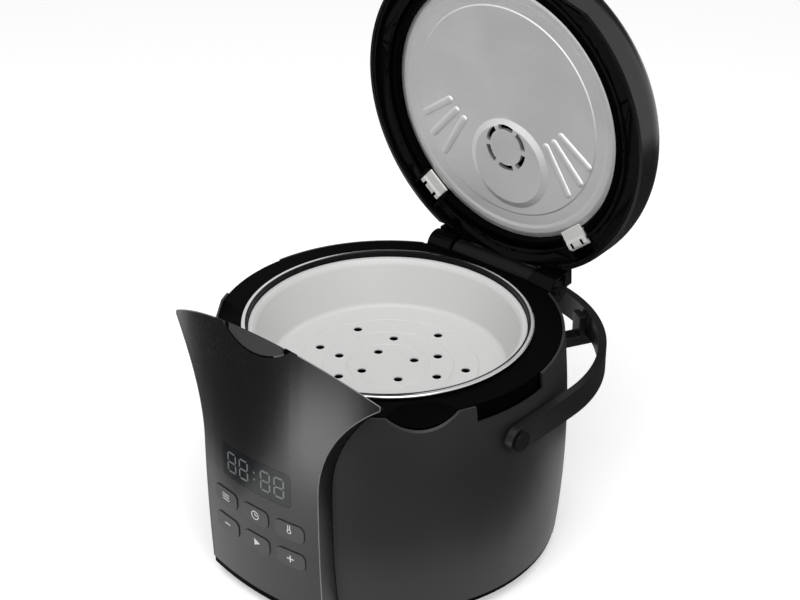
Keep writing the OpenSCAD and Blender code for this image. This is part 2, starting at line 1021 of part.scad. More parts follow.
// Half section of the lid's dome, drawn in by inset, down to a level
module dome_section(inset, low) {
    centre_z = lid_top - dome_arc;
    shoulder_x = lid_r - shoulder_r;
    reach = dome_arc - shoulder_r;
    shoulder_z = centre_z + sqrt(reach * reach - shoulder_x * shoulder_x);
    touch_x = shoulder_x * dome_arc / reach;
    intersection() {
        translate([0, centre_z])
            circle(r = dome_arc - inset, $fn = arc_fn);
        translate([0, low])
            square([touch_x * (dome_arc - inset) / dome_arc, far]);
    }
    translate([shoulder_x, shoulder_z])
        circle(r = shoulder_r - inset, $fn = round_fn);
    translate([0, low])
        square([lid_r - inset, shoulder_z - low]);
}

// Solid of the lid, drawn in by inset, with the visor's space taken out
module lid_solid(inset, low) {
    difference() {
        rotate_extrude($fn = round_fn)
            intersection() {
                dome_section(inset, low);
                translate([0, low])
                    square([far, far]);
            }
        visor_space(lid_gap + inset);
    }
}

// Room for the hinge in the rear of the lid
module hinge_room() {
    translate([0, hinge_y, hinge_z])
        rod_x(barrel_r + 0.8, barrel_half + 1);
    hinge_rods(knuckle_r + 0.5, barrel_half + 0.5, neck_half + 0.5);
    block([-neck_half - 0.5, hinge_y - 16, 0], [neck_half + 0.5, far, trough_z + 1.5]);
}

module lid_cover() {
    color("#19191b")
        opened()
            difference() {
                lid_solid(0, lid_low);
                lid_solid(lid_wall, lid_low - 20);
                hinge_room();
                translate([0, boss_y, 0])
                    cylinder(r = vent_r + seat_gap, h = far * 2);
                latch_window();
                release_relief();
            }
}

// Window in the lid's front that the latch's nose enters
module latch_window() {
    block([-10, -far, nose_z - 0.4], [10, -visor_face(nose_z) + lid_gap + 8.8, nose_z + nose_t + 3]);
}

// Room behind the release button for its travel
module release_relief() {
    difference() {
        front_prism()
            recess_outline(-2);
        visor_cone(lid_gap + 1.7);
    }
}

module lid_liner() {
    color("#1d1d1f")
        opened()
            difference() {
                union() {
                    difference() {
                        union() {
                            liner_ring();
                            for (s = [-1, 1])
                                clip_pocket(s);
                        }
                        visor_space(lid_gap + lid_wall + seat_gap);
                        catch_room();
                        translate([0, hinge_y, hinge_z])
                            rod_x(barrel_r + 0.8, barrel_half + 1);
                        hinge_rods(knuckle_r + 0.5, barrel_half + 0.5, neck_half + 0.5);
                    }
                    hinge_neck();
                }
                for (s = [-1, 1])
                    clip_space(s);
                translate([0, hinge_y, hinge_z])
                    rod_x(hinge_pin_r + run_gap, far);
            }
}

// Moulded ring of the liner: trough, ridge, flat annulus and outer rim
module liner_ring() {
    rotate_extrude($fn = round_fn)
        polygon([
            [liner_hole_r, trough_z], [ridge_r, trough_z], [ridge_r, ridge_z], [ridge_r + ridge_w, ridge_z],
            [ridge_r + ridge_w, annulus_z], [liner_r - 2.6, annulus_z], [liner_r - 2.6, liner_low],
            [liner_r, liner_low], [liner_r, annulus_z + sheet_t], [ridge_r + ridge_w, annulus_z + sheet_t],
            [ridge_r + ridge_w, trough_z + sheet_t], [liner_hole_r, trough_z + sheet_t]
        ]);
}

// Room in the liner's front for the catch
module catch_room() {
    difference() {
        block([-catch_half - 0.5, -far, 0], [catch_half + 0.5, 0, far * 2]);
        visor_cone(lid_gap + lid_wall + catch_t + 0.4);
    }
}

// Arms and knuckles that carry the lid on the hinge pin
module hinge_neck() {
    difference() {
        union() {
            block([-neck_half, hinge_y - 15.5, trough_z - 4.6], [neck_half, hinge_y + 2, trough_z + 1]);
            for (s = [-1, 1])
                translate([s * (neck_half - knuckle_w / 2), 0, 0])
                    block([-knuckle_w / 2, hinge_y - 12, lid_low], [knuckle_w / 2, hinge_y + 2, trough_z]);
            hinge_rods(knuckle_r, neck_half - knuckle_w, neck_half);
        }
        translate([0, hinge_y, hinge_z])
            rod_x(barrel_r + 0.8, neck_half - knuckle_w - 0.01);
    }
}

// Turns a clip, drawn along X, to its place
module clip_place(side) {
    rotate([0, 0, 90 - side * clip_angle])
        children();
}

module clip_pocket(side) {
    intersection() {
        clip_place(side)
            block([clip_in, -clip_w / 2 - pocket_wall, annulus_z - 0.5],
                [far, clip_w / 2 + pocket_wall, trough_z + sheet_t]);
        cylinder(r = liner_r, h = far * 2, $fn = round_fn);
    }
}

module clip_space(side) {
    clip_place(side)
        block([plate_r - 0.5, -clip_w / 2 - 1.5, 0],
            [clip_out + clip_travel + 1.5, clip_w / 2 + 1.5, trough_z]);
}

module lid_clip(side) {
    color("#e9e9e6")
        opened()
            clip_place(side)
                difference() {
                    union() {
                        block([clip_in, -clip_w / 2, clip_z], [clip_out, clip_w / 2, trough_z - 0.4]);
                        block([plate_r - 3.5, -clip_w / 2, clip_z], [clip_in + 1, clip_w / 2, clip_z + 1.7]);
                    }
                    for (y = [-6, 6])
                        translate([clip_out - 5, y, 0])
                            cylinder(r = 1.4, h = clip_z + 3);
                }
}

module clip_left() lid_clip(-1);
module clip_right() lid_clip(1);

module inner_lid_plate() {
    z = shut_plate_z;
    bead_r = 3;
    color("#c3c4c6")
        opened()
            difference() {
                union() {
                    rotate_extrude($fn = round_fn)
                        polygon([
                            [0, z], [plate_r - 21, z], [plate_r - 20, z + 1], [plate_r - 11, z + 1],
                            [plate_r - 10, z - 0.5], [plate_r - 3, z - 0.5], [plate_r - 2, z - 2],
                            [plate_r, z - 2], [plate_r, trough_z], [plate_r - 1, trough_z],
                            [plate_r - 1, z - 0.5 + plate_t], [plate_r - 9, z - 0.5 + plate_t],
                            [plate_r - 10, z + 1 + plate_t], [plate_r - 21, z + 1 + plate_t],
                            [plate_r - 22, z + plate_t], [0, z + plate_t]
                        ]);
                    translate([0, boss_y, z - 2])
                        cylinder(r1 = boss_r - 5, r2 = boss_r, h = 2 + plate_t / 2);
                    intersection() {
                        for (s = [-1, 1], i = [0 : 2])
                            plate_bead(s, i, bead_r);
                        translate([0, 0, z - 5])
                            cylinder(r = far, h = 5 + plate_t / 2);
                    }
                }
                translate([0, boss_y, z - 0.8])
                    cylinder(r = boss_r - 6.2, h = far);
                vent_slots();
            }
}

// One of three beads that fan out over the plate
module plate_bead(side, i, r) {
    bead_l = 40;
    fan = 37 + 12 * i;
    lift = 1.8;
    translate([side * 20, -18, shut_plate_z + lift])
        rotate([0, 0, side > 0 ? fan : 180 - fan])
            translate([74 - bead_l - 2 * i, 0, 0]) {
                rotate([0, 90, 0])
                    cylinder(r = r, h = bead_l, $fn = 32);
                sphere(r = r, $fn = 32);
                translate([bead_l, 0, 0])
                    sphere(r = r, $fn = 32);
            }
}

// Curved slots through the plate under the steam vent
module vent_slots() {
    slot_path = 11;
    slot_w = 2.4;
    for (a = [0 : 90 : 270])
        translate([0, boss_y - 6, shut_plate_z - 5])
            rotate([0, 0, a + 20])
                rotate_extrude(angle = 55)
                    translate([slot_path - slot_w / 2, 0])
                        square([slot_w, 10]);
}

module lid_gasket() {
    inner = plate_r + seat_gap;
    outer = ridge_r - seat_gap;
    color("#262628")
        opened()
            difference() {
                rotate_extrude($fn = round_fn)
                    polygon([
                        [inner, shut_plate_z], [inner + 1, gasket_z], [inner + 3.4, gasket_z],
                        [outer, gasket_z + 3], [outer, trough_z], [inner, trough_z]
                    ]);
                for (s = [-1, 1])
                    clip_place(s)
                        block([0, -clip_w / 2 - pocket_wall - 0.3, 0],
                            [far, clip_w / 2 + pocket_wall + 0.3, far * 2]);
            }
}

module lid_catch() {
    depth = lid_gap + lid_wall;
    color("silver")
        opened()
            difference() {
                intersection() {
                    difference() {
                        visor_cone(depth + 0.1);
                        visor_cone(depth + 0.1 + catch_t);
                    }
                    block([-catch_half, -far, lid_low + 1], [catch_half, 0, nose_z + 9]);
                }
                latch_window();
            }
}

module steam_vent() {
    tube_r = 9;
    low = shut_plate_z + plate_t + 0.4;
    cup_z = lid_top - 20;
    color("#1b1b1d")
        opened()
            translate([0, boss_y, 0])
                rotate_extrude()
                    polygon([
                        [tube_r - 2.5, low], [tube_r, low], [tube_r, cup_z], [vent_r, cup_z],
                        [vent_r, lid_top + 1], [vent_r - 2, lid_top + 1], [vent_r - 2, cup_z + 2],
                        [tube_r - 2.5, cup_z + 2]
                    ]);
}

module steam_cap() {
    cap_r = vent_r - 2 - seat_gap;
    low = lid_top - 18 + seat_gap;
    high = lid_top + 4;
    color("#222224")
        opened()
            translate([0, boss_y, 0])
                difference() {
                    rotate_extrude()
                        polygon([
                            [cap_r - 2, low], [cap_r, low], [cap_r, high - 2], [cap_r - 2, high], [0, high],
                            [0, high - 2.5], [cap_r - 2, high - 2.5]
                        ]);
                    for (x = [-7, 0, 7])
                        translate([x - 1.5, -8, high - 4])
                            cube([3, 16, 8]);
                }
}

// Pot and basket

// Half section of a round pan with a rounded bottom corner
module pan_section(r, low, corner, high) {
    translate([0, low])
        square([r - corner, high - low]);
    translate([0, low + corner])
        square([r, high - low - corner]);
    translate([r - corner, low + corner])
        intersection() {
            circle(r = corner, $fn = 96);
            translate([-corner / 2, -corner])
                square([2 * corner, 2 * corner]);
        }
}

// Half section of the pot's sheet
module pot_section() {
    ledge = rim_z - mouth_h;
    lip = rim_t / 2;
    difference() {
        union() {
            pan_section(pot_r, pot_floor_z, pot_corner, ledge);
            polygon([
                [0, ledge - 3], [pot_r, ledge - 3], [mouth_r, ledge], [mouth_r, rim_z - rim_t],
                [pot_rim_r - lip, rim_z - rim_t], [pot_rim_r - lip, rim_z], [0, rim_z]
            ]);
            translate([pot_rim_r - lip, rim_z - lip])
                circle(r = lip, $fn = 48);
        }
        pan_section(pot_r - pot_wall, pot_floor_z + pot_wall, pot_corner - pot_wall, ledge);
        polygon([
            [0, ledge - 3], [pot_r - pot_wall, ledge - 3], [mouth_r - pot_wall, ledge],
            [mouth_r - pot_wall, far * 2], [0, far * 2]
        ]);
    }
}

// Wall and rim of the pot
module inner_pot() {
    color("#9a9b9d")
        rotate_extrude($fn = round_fn)
            intersection() {
                pot_section();
                translate([0, pot_floor_z + pot_corner])
                    square(far);
            }
}

// Bottom of the pot, up to the end of its round corner
module pot_base() {
    color("#9a9b9d")
        rotate_extrude($fn = round_fn)
            intersection() {
                pot_section();
                square([far, pot_floor_z + pot_corner]);
            }
}

// Angles of the steam holes on each ring of holes
steam_rings = [
    [62, 152, 242, 332],
    [17, 60, 125, 200, 244, 287, 330],
    [34, 90, 155, 194, 235, 275, 315, 355]
];

module steam_basket() {
    rim_r = mouth_r - pot_wall - skin_gap;
    seat = rim_z - mouth_h + seat_gap;
    high = rim_z - 3;
    floor_z = rim_z - basket_depth;
    t = basket_wall;
    basket_floor_r = pot_r - pot_wall - basket_taper;
    first_ring_r = 22.5;
    ring_step = 20;
    groove = 0.5;
    groove_w = 1.6;
    groove_r = first_ring_r + 9.5;
    color("#d6d6d4")
        difference() {
            rotate_extrude($fn = round_fn)
                polygon([
                    [0, floor_z], [basket_floor_r, floor_z], [basket_floor_r + 4.5, floor_z + 4.5],
                    [rim_r - 5.5, high], [rim_r, high], [rim_r, seat], [rim_r - 1.6, seat],
                    [rim_r - 1.6, high - t], [rim_r - 4, high - t],
                    [basket_floor_r + 4.5 + t, floor_z + 3.6],
                    [basket_floor_r + 1, floor_z - t], [0, floor_z - t]
                ]);
            for (i = [0 : 2], a = steam_rings[i])
                rotate([0, 0, a])
                    translate([first_ring_r + i * ring_step, 0, floor_z - t - 1])
                        cylinder(d = steam_hole, h = t + 2, $fn = 32);
            for (i = [0 : 2])
                rotate_extrude($fn = round_fn)
                    translate([groove_r + i * ring_step, floor_z - groove])
                        square([groove_w, 2 * groove]);
        }
}

base_cover();
foot_pads();
base_screws();
outer_shell();
top_ring();
hinge_barrel();
hinge_pin();
control_panel();
visor_body();
display_window();
menu_button();
timer_button();
temperature_button();
minus_button();
start_button();
plus_button();
release_button();
latch_lever();
latch_pin();
inner_well();
heating_plate();
heater_element();
temperature_sensor();
sensor_bracket();
thermal_fuse();
control_board();
power_board();
power_inlet();
inlet_pins();
handle();
handle_pivots();
handle_rests();
lid_cover();
lid_liner();
inner_lid_plate();
lid_gasket();
clip_left();
clip_right();
lid_catch();
steam_vent();
steam_cap();
inner_pot();
pot_base();
steam_basket();
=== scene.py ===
"""Looks of a round multicooker with its lid standing open.

Each sub-assembly is a class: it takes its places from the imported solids, rounds their edges, adds the
small pieces that belong to it and gives every piece its finish. Metres, +Z up, front towards -Y.
"""
import logging
import math
from dataclasses import dataclass
from enum import Enum
from typing import Any, Callable, Optional, Sequence, Union

import bmesh
import bpy
from mathutils import Matrix, Vector


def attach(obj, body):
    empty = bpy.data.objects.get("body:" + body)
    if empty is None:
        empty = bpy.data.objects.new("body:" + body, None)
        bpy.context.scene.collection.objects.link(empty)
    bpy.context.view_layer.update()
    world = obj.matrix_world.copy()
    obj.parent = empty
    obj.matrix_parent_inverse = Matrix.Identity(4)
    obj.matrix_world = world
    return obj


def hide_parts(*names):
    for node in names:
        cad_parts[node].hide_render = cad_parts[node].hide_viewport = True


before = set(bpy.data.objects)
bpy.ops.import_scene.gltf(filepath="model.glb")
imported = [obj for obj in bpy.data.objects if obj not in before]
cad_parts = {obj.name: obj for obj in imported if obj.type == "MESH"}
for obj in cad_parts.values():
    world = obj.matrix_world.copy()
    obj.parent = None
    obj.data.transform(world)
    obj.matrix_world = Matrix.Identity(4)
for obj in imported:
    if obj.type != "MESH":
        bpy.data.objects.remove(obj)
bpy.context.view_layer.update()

log = logging.getLogger("multicooker")

MM = 0.001
LID_OPEN = math.radians(86.4)
RIM_Z = 0.195
HINGE = (0.0, 0.1376, 0.1862)
LID_TURN = (
    Matrix.Translation(HINGE) @ Matrix.Rotation(-LID_OPEN, 4, "X") @ Matrix.Translation(HINGE).inverted()
)

# Mesh work: distances in metres, and angles in degrees where no unit is given.
MERGE = 3e-6  # points of a solid that are one point
SLIVER = 5e-6  # length of an edge of a solid that is dropped
WELD = 1e-6  # points of a made piece that are one point
FLAT_DEG = 0.2  # faces that are one flat face
SHARP_DEG = 40.0  # least angle of an edge that is rounded
SMOOTH_DEG = 32.0  # angle above which the shading shows an edge
FILLET_SHARE = 0.48  # part of a side that one fillet may take
FILLET_TURN = 0.05  # least half angle at a fillet, in radians

# Materials: the range that noise mostly stays in, and the scale of slow changes of tone, per metre.
NOISE_LOW, NOISE_HIGH = 0.3, 0.7
CLOUD_SCALE, CLOUD_DETAIL = 18.0, 2.0
ROLLED_STRETCH = (0.02, 1.0, 1.0)

Corner = tuple[float, float, float]
Point = tuple[float, float]
Piece = bpy.types.Object
Work = bmesh.types.BMesh
Tree = bpy.types.NodeTree
Node = bpy.types.Node
Socket = bpy.types.NodeSocket
Entries = dict[Union[int, str], Any]


def feed(tree: Tree, node: Node, entries: Entries) -> Node:
    """Links sockets to a node's inputs, or sets them to plain values, and returns the node."""
    for key, value in entries.items():
        if isinstance(value, Socket):
            tree.links.new(value, node.inputs[key])
        else:
            node.inputs[key].default_value = value
    return node


def add(tree: Tree, kind: str, entries: Entries, **settings: str) -> Node:
    """Adds a node of a kind, sets what it does, feeds its inputs and returns it."""
    node = tree.nodes.new(kind)
    for name, value in settings.items():
        setattr(node, name, value)
    return feed(tree, node, entries)


def reckon(tree: Tree, operation: str, *terms: Union[float, Socket]) -> Socket:
    """Returns the result of a math node on sockets and plain values."""
    return add(tree, "ShaderNodeMath", dict(enumerate(terms)), operation=operation).outputs[0]


class Grain(Enum):
    """How the fine surface pattern of a finish runs."""

    MOULDED = "moulded"
    TURNED = "turned"
    ROLLED = "rolled"
    CAST = "cast"


GRAIN_DETAIL = {Grain.MOULDED: 2.0, Grain.TURNED: 3.0, Grain.ROLLED: 3.0, Grain.CAST: 6.0}


@dataclass(frozen=True)
class Finish:
    """One surface finish and the node material that shows it.

    Attributes:
        name: Name of the material.
        colour: Linear grey or colour of the surface.
        spread: How far the colour varies, as a share of itself.
        roughness: Least and greatest roughness over the surface.
        metallic: 1 for bare metal, otherwise 0.
        specular: Strength of the reflection at right angles.
        grain: How the fine pattern runs.
        grain_size: Size of the fine pattern in metres.
        bump: Depth of the fine pattern in metres.
        spin: Turn of the pattern about X, for pieces that lean with the lid.
        centre: Point that a turned pattern circles.
    """

    name: str
    colour: Corner
    spread: float = 0.08
    roughness: Point = (0.4, 0.5)
    metallic: float = 0.0
    specular: float = 0.5
    grain: Grain = Grain.MOULDED
    grain_size: float = 0.0006
    bump: float = 0.00002
    spin: float = 0.0
    centre: Corner = (0.0, 0.0, 0.0)

    def material(self) -> bpy.types.Material:
        """Returns the node material of this finish, made on first use."""
        made = bpy.data.materials.get(self.name)
        if made is None:
            made = self._build()
        return made

    def _build(self) -> bpy.types.Material:
        """Returns a new material with its node tree."""
        material = bpy.data.materials.new(self.name)
        material.use_nodes = True
        tree = material.node_tree
        pattern = self._pattern(tree)
        cloud = self._noise(tree, self._place(tree), CLOUD_SCALE, CLOUD_DETAIL)
        mixed = reckon(tree, "MULTIPLY_ADD", pattern, 0.5, reckon(tree, "MULTIPLY", cloud, 0.5))
        bump = add(tree, "ShaderNodeBump", {"Strength": 1.0, "Distance": self.bump, "Height": pattern})
        feed(tree, tree.nodes["Principled BSDF"], {
            "Metallic": self.metallic, "Specular IOR Level": self.specular,
            "Base Color": self._tones(tree, mixed), "Roughness": self._ramp(tree, mixed),
            "Normal": bump.outputs["Normal"],
        })
        return material

    def _place(self, tree: Tree) -> Socket:
        """Returns Object coordinates, centred and turned for the pattern."""
        return add(tree, "ShaderNodeMapping", {
            "Location": self.centre, "Rotation": (self.spin, 0.0, 0.0),
            "Vector": add(tree, "ShaderNodeTexCoord", {}).outputs["Object"],
        }, vector_type="TEXTURE").outputs["Vector"]

    @staticmethod
    def _noise(tree: Tree, place: Socket, scale: float, detail: float) -> Socket:
        """Returns the factor of a noise texture that reads coordinates, at a scale per metre."""
        entries = {"Vector": place, "Scale": scale, "Detail": detail}
        return add(tree, "ShaderNodeTexNoise", entries).outputs["Fac"]

    def _pattern(self, tree: Tree) -> Socket:
        """Returns the fine pattern's factor, which follows the grain."""
        place = self._place(tree)
        if self.grain is Grain.TURNED:
            place = self._turned(tree, place)
        elif self.grain is Grain.ROLLED:
            entries = {0: place, 1: ROLLED_STRETCH}
            place = add(tree, "ShaderNodeVectorMath", entries, operation="MULTIPLY").outputs["Vector"]
        return self._noise(tree, place, 1.0 / self.grain_size, GRAIN_DETAIL[self.grain])

    @staticmethod
    def _turned(tree: Tree, place: Socket) -> Socket:
        """Returns coordinates that make rings about Z: the distance from the axis, and the height."""
        split = add(tree, "ShaderNodeSeparateXYZ", {0: place}).outputs
        flat = add(tree, "ShaderNodeCombineXYZ", {"X": split["X"], "Y": split["Y"]})
        radius = add(tree, "ShaderNodeVectorMath", {0: flat.outputs[0]}, operation="LENGTH")
        entries = {"X": radius.outputs["Value"], "Z": split["Z"]}
        return add(tree, "ShaderNodeCombineXYZ", entries).outputs[0]

    def _ramp(self, tree: Tree, value: Socket) -> Socket:
        """Returns the roughness, stretched over the noise's middle range."""
        low, high = self.roughness
        return add(tree, "ShaderNodeMapRange", {
            "Value": value, "From Min": NOISE_LOW, "From Max": NOISE_HIGH, "To Min": low, "To Max": high,
        }).outputs["Result"]

    def _tones(self, tree: Tree, value: Socket) -> Socket:
        """Returns the colour, varied by spread over the pattern."""
        ramp = add(tree, "ShaderNodeValToRGB", {"Fac": value})
        for stop, position, share in zip(
            ramp.color_ramp.elements, (NOISE_LOW, NOISE_HIGH), (1.0 - self.spread, 1.0 + self.spread)
        ):
            stop.position = position
            stop.color = (*(c * share for c in self.colour), 1.0)
        return ramp.outputs["Color"]


def grey(level: float) -> Corner:
    """Returns a neutral linear colour."""
    return (level, level, level)


LID_CENTRE = (0.0, 0.15, 0.32)

GLOSS_BLACK = Finish(
    "gloss black", grey(0.004), 0.08, (0.25, 0.28), specular=0.45, grain_size=0.004, bump=0.000001,
)
SHELL_GREY = Finish("shell grey", grey(0.014), 0.10, (0.40, 0.48), specular=0.30, grain_size=0.0005)
BLACK_MOULDING = Finish("black moulding", grey(0.0008), 0.2, (0.45, 0.55), specular=0.012)
LINER_BLACK = Finish("liner black", grey(0.0012), 0.2, (0.20, 0.26), specular=0.06)
DARK_MOULDING = Finish("dark moulding", grey(0.004), 0.15, (0.4, 0.5), specular=0.10)
HANDLE_BLACK = Finish("handle black", grey(0.005), 0.12, (0.32, 0.42), specular=0.35)
RELEASE_GREY = Finish("release grey", grey(0.040), 0.08, (0.28, 0.36), specular=0.30)
BUTTON_GREY = Finish("button grey", grey(0.030), 0.1, (0.35, 0.45), specular=0.35)
DISPLAY_GLASS = Finish(
    "display glass", (0.004, 0.005, 0.006), 0.1, (0.20, 0.25), specular=0.35, grain_size=0.006,
    bump=0.000002,
)
CLIP_WHITE = Finish("clip white", (0.58, 0.58, 0.56), 0.03, (0.38, 0.46))
BASKET_WHITE = Finish("basket white", (0.58, 0.58, 0.575), 0.02, (0.34, 0.42), specular=0.35)
RUBBER = Finish("rubber", grey(0.0015), 0.2, (0.7, 0.85), specular=0.02, grain_size=0.0004, bump=0.00004)
STEEL = Finish("steel", grey(0.55), 0.08, (0.28, 0.4), metallic=1.0, grain=Grain.ROLLED, grain_size=0.0004)
PIN_STEEL = Finish(
    "pin steel", grey(0.02), 0.2, (0.4, 0.5), metallic=1.0, grain=Grain.ROLLED, grain_size=0.0004,
)
POT_COAT = Finish(
    "pot coat", grey(0.0025), 0.2, (0.30, 0.40), specular=0.12, grain=Grain.TURNED, grain_size=0.0008,
)
# Light grey of the bead along the panel's edge: a painted highlight that stands in for the shine on the edge's
# rounding.
PAINTED_HIGHLIGHT_GREY = Finish("panel edge painted highlight", grey(0.15), 0.1, (0.25, 0.35), grain_size=0.002)
POT_ALUMINIUM = Finish(
    "pot aluminium", grey(0.62), 0.05, (0.12, 0.20), metallic=1.0, grain=Grain.TURNED, bump=0.000004,
)
PLATE_ALUMINIUM = Finish(
    "plate aluminium", grey(0.72), 0.05, (0.50, 0.58), metallic=1.0, grain=Grain.ROLLED, grain_size=0.0009,
    bump=0.000004, spin=-LID_OPEN, centre=LID_CENTRE,
)
CAST_ALUMINIUM = Finish(
    "cast aluminium", grey(0.50), 0.1, (0.35, 0.5), metallic=1.0, grain=Grain.TURNED, grain_size=0.0008,
)
WELL_METAL = Finish("well sheet", grey(0.55), 0.06, (0.3, 0.42), metallic=1.0, grain=Grain.TURNED)
HEATER_STEEL = Finish(
    "heater tube", (0.30, 0.28, 0.26), 0.2, (0.4, 0.6), metallic=1.0, grain=Grain.CAST, grain_size=0.002,
)
CERAMIC = Finish("fuse ceramic", (0.62, 0.59, 0.50), 0.05, (0.3, 0.4), grain=Grain.CAST)
LAMINATE = Finish("board laminate", (0.025, 0.16, 0.06), 0.15, (0.35, 0.5), grain=Grain.CAST)
MARK_WHITE = Finish("printed mark", grey(0.5), 0.05, (0.5, 0.6))
SEGMENT = Finish("display segment", (0.10, 0.11, 0.11), 0.05, (0.3, 0.4))


def eased(corners: Sequence[Corner], steps: int = 5) -> list[Point]:
    """Rounds the corners of a profile.

    Args:
        corners: Radius, height and fillet of each corner, in millimetres.
        steps: Number of pieces in each fillet.

    Returns:
        Radius and height of the profile's points, in metres.
    """
    points = [Vector((r, z)) * MM for r, z, _ in corners]
    line: list[Point] = []
    for i, here in enumerate(points):
        size = corners[i][2] * MM
        if size <= 0.0 or i in (0, len(points) - 1):
            line.append(tuple(here))
            continue
        back, on = points[i - 1] - here, points[i + 1] - here
        half = max(back.angle(on) / 2.0, FILLET_TURN)
        reach = min(size / math.tan(half), back.length * FILLET_SHARE, on.length * FILLET_SHARE)
        start, end = here + back.normalized() * reach, here + on.normalized() * reach
        for step in range(steps + 1):
            t = step / steps
            line.append(tuple(start * (1 - t) ** 2 + here * (2 * t * (1 - t)) + end * t ** 2))
    return line


class Shape:
    """Mesh helpers that every sub-assembly uses."""

    @staticmethod
    def revolve(
        work: Work, profile: Sequence[Point], steps: int = 192, at: Point = (0.0, 0.0)
    ) -> list[list[bmesh.types.BMFace]]:
        """Turns a closed profile about an upright axis.

        Args:
            work: Mesh that the faces go into.
            profile: Radius and height of the points, from the axis back to it.
            steps: Number of pieces round the axis.
            at: Place of the axis.

        Returns:
            The faces of each band, in the profile's order.
        """
        rings, bands = [], []
        for radius, height in profile:
            turns = [math.tau * i / steps for i in range(1 if radius < WELD else steps)]
            rings.append([
                work.verts.new((at[0] + radius * math.cos(a), at[1] + radius * math.sin(a), height))
                for a in turns
            ])
        for near, far in zip(rings, rings[1:]):
            band = []
            for i in range(steps):
                j = (i + 1) % steps
                corners = (near[i % len(near)], near[j % len(near)], far[j % len(far)], far[i % len(far)])
                face = list(dict.fromkeys(corners))
                if len(face) > 2:
                    band.append(work.faces.new(face))
            bands.append(band)
        return bands

    @staticmethod
    def loft(work: Work, loops: Sequence[Sequence[Vector]]) -> None:
        """Adds a closed skin over loops of as many points, with a cap at each end."""
        rows = [[work.verts.new(p) for p in loop] for loop in loops]
        work.faces.new(rows[0])
        work.faces.new(rows[-1][::-1])
        for near, far in zip(rows, rows[1:]):
            for i in range(len(near)):
                j = (i + 1) % len(near)
                work.faces.new((near[i], far[i], far[j], near[j]))

    @staticmethod
    def finished(name: str, work: Work, degrees: float = SMOOTH_DEG) -> Piece:
        """Closes and frees a working mesh; returns its piece, with edges above an angle kept sharp."""
        bmesh.ops.remove_doubles(work, verts=work.verts, dist=WELD)
        bmesh.ops.recalc_face_normals(work, faces=work.faces)
        mesh = bpy.data.meshes.new(name)
        work.to_mesh(mesh)
        work.free()
        Shape.smooth(mesh, degrees)
        return Shape.piece(name, mesh)

    @staticmethod
    def combine(made: Piece, other: Piece, operation: str) -> Piece:
        """Joins (UNION) or cuts out (DIFFERENCE) another piece, removes it and returns the first."""
        step = made.modifiers.new("combine", "BOOLEAN")
        step.operation = operation
        step.solver = "EXACT"
        step.object = other
        Shape.plain(made)
        bpy.data.objects.remove(other)
        return made

    @staticmethod
    def evened(made: Piece, degrees: float = SMOOTH_DEG) -> Piece:
        """Shades a piece smooth with normals that follow its larger faces."""
        Shape.smooth(made.data, degrees)
        weighted = made.modifiers.new("edges", "WEIGHTED_NORMAL")
        weighted.keep_sharp = True
        return Shape.plain(made)

    @staticmethod
    def piece(name: str, data: bpy.types.ID) -> Piece:
        """Returns a new object at the origin for a mesh, a lamp or a camera."""
        made = bpy.data.objects.new(name, data)
        bpy.context.scene.collection.objects.link(made)
        return made

    @staticmethod
    def smooth(mesh: bpy.types.Mesh, degrees: float = SMOOTH_DEG) -> None:
        """Shades a mesh smooth, apart from edges sharper than an angle."""
        mesh.polygons.foreach_set("use_smooth", [True] * len(mesh.polygons))
        mesh.set_sharp_from_angle(angle=math.radians(degrees))
        mesh.update()

    @staticmethod
    def merged(mesh: bpy.types.Mesh) -> Work:
        """Returns a working copy of a mesh whose doubled points are merged."""
        work = bmesh.new()
        work.from_mesh(mesh)
        bmesh.ops.remove_doubles(work, verts=work.verts, dist=MERGE)
        return work

    @staticmethod
    def sharp_edges(work: Work) -> list[bmesh.types.BMEdge]:
        """Joins the pieces of flat faces and returns the sharp edges that are left."""
        flat, limit = math.radians(FLAT_DEG), math.radians(SHARP_DEG)
        bmesh.ops.dissolve_limit(work, angle_limit=flat, verts=work.verts, edges=work.edges)
        return [e for e in work.edges if len(e.link_faces) == 2 and e.calc_face_angle(0.0) > limit]

    @staticmethod
    def bevel(work: Work, edges: Sequence[bmesh.types.BMEdge], width: float) -> None:
        """Rounds edges to a width in metres."""
        bmesh.ops.bevel(
            work, geom=edges, offset=width, offset_type="OFFSET", segments=2, profile=0.5,
            affect="EDGES", clamp_overlap=True, loop_slide=True, miter_outer="SHARP",
        )

    @staticmethod
    def rounded(node: str, width: float, cutter: Optional[Callable[[], Piece]] = None) -> Piece:
        """Returns a copy of a solid whose sharp edges are rounded.

        Args:
            node: Name of the solid.
            width: Width of the rounded edge in metres.
            cutter: Makes a piece that is cut out before the rounding.
        """
        work = Shape.merged(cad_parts[node].data)
        bmesh.ops.dissolve_degenerate(work, edges=work.edges, dist=SLIVER)
        if cutter is not None:
            fallen = Shape.combine(Shape.finished(f"{node}_cut", work), cutter(), "DIFFERENCE")
            work = Shape.merged(fallen.data)
            bpy.data.objects.remove(fallen)
        Shape.bevel(work, Shape.sharp_edges(work), width)
        mesh = bpy.data.meshes.new(f"{node}_rounded")
        work.to_mesh(mesh)
        work.free()
        return Shape.evened(Shape.piece(f"{node}_dressed", mesh))

    @staticmethod
    def plain(made: Piece) -> Piece:
        """Returns the object itself, its evaluated shape made a plain mesh without modifiers."""
        graph = bpy.context.evaluated_depsgraph_get()
        mesh = bpy.data.meshes.new_from_object(made.evaluated_get(graph))
        made.modifiers.clear()
        made.data = mesh
        return made


def dress(made: Piece, *finishes: Finish) -> Piece:
    """Gives a piece its finishes as its only materials, in the order of its faces' numbers."""
    if made.data.materials:
        made.data.materials.clear()
    for finish in finishes:
        made.data.materials.append(finish.material())
    return made


def dress_solid(node: str, finish: Finish) -> None:
    """Shows a solid as it is, with a finish."""
    dress(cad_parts[node], finish)
    log.info("solid %s: %s", node, finish.name)


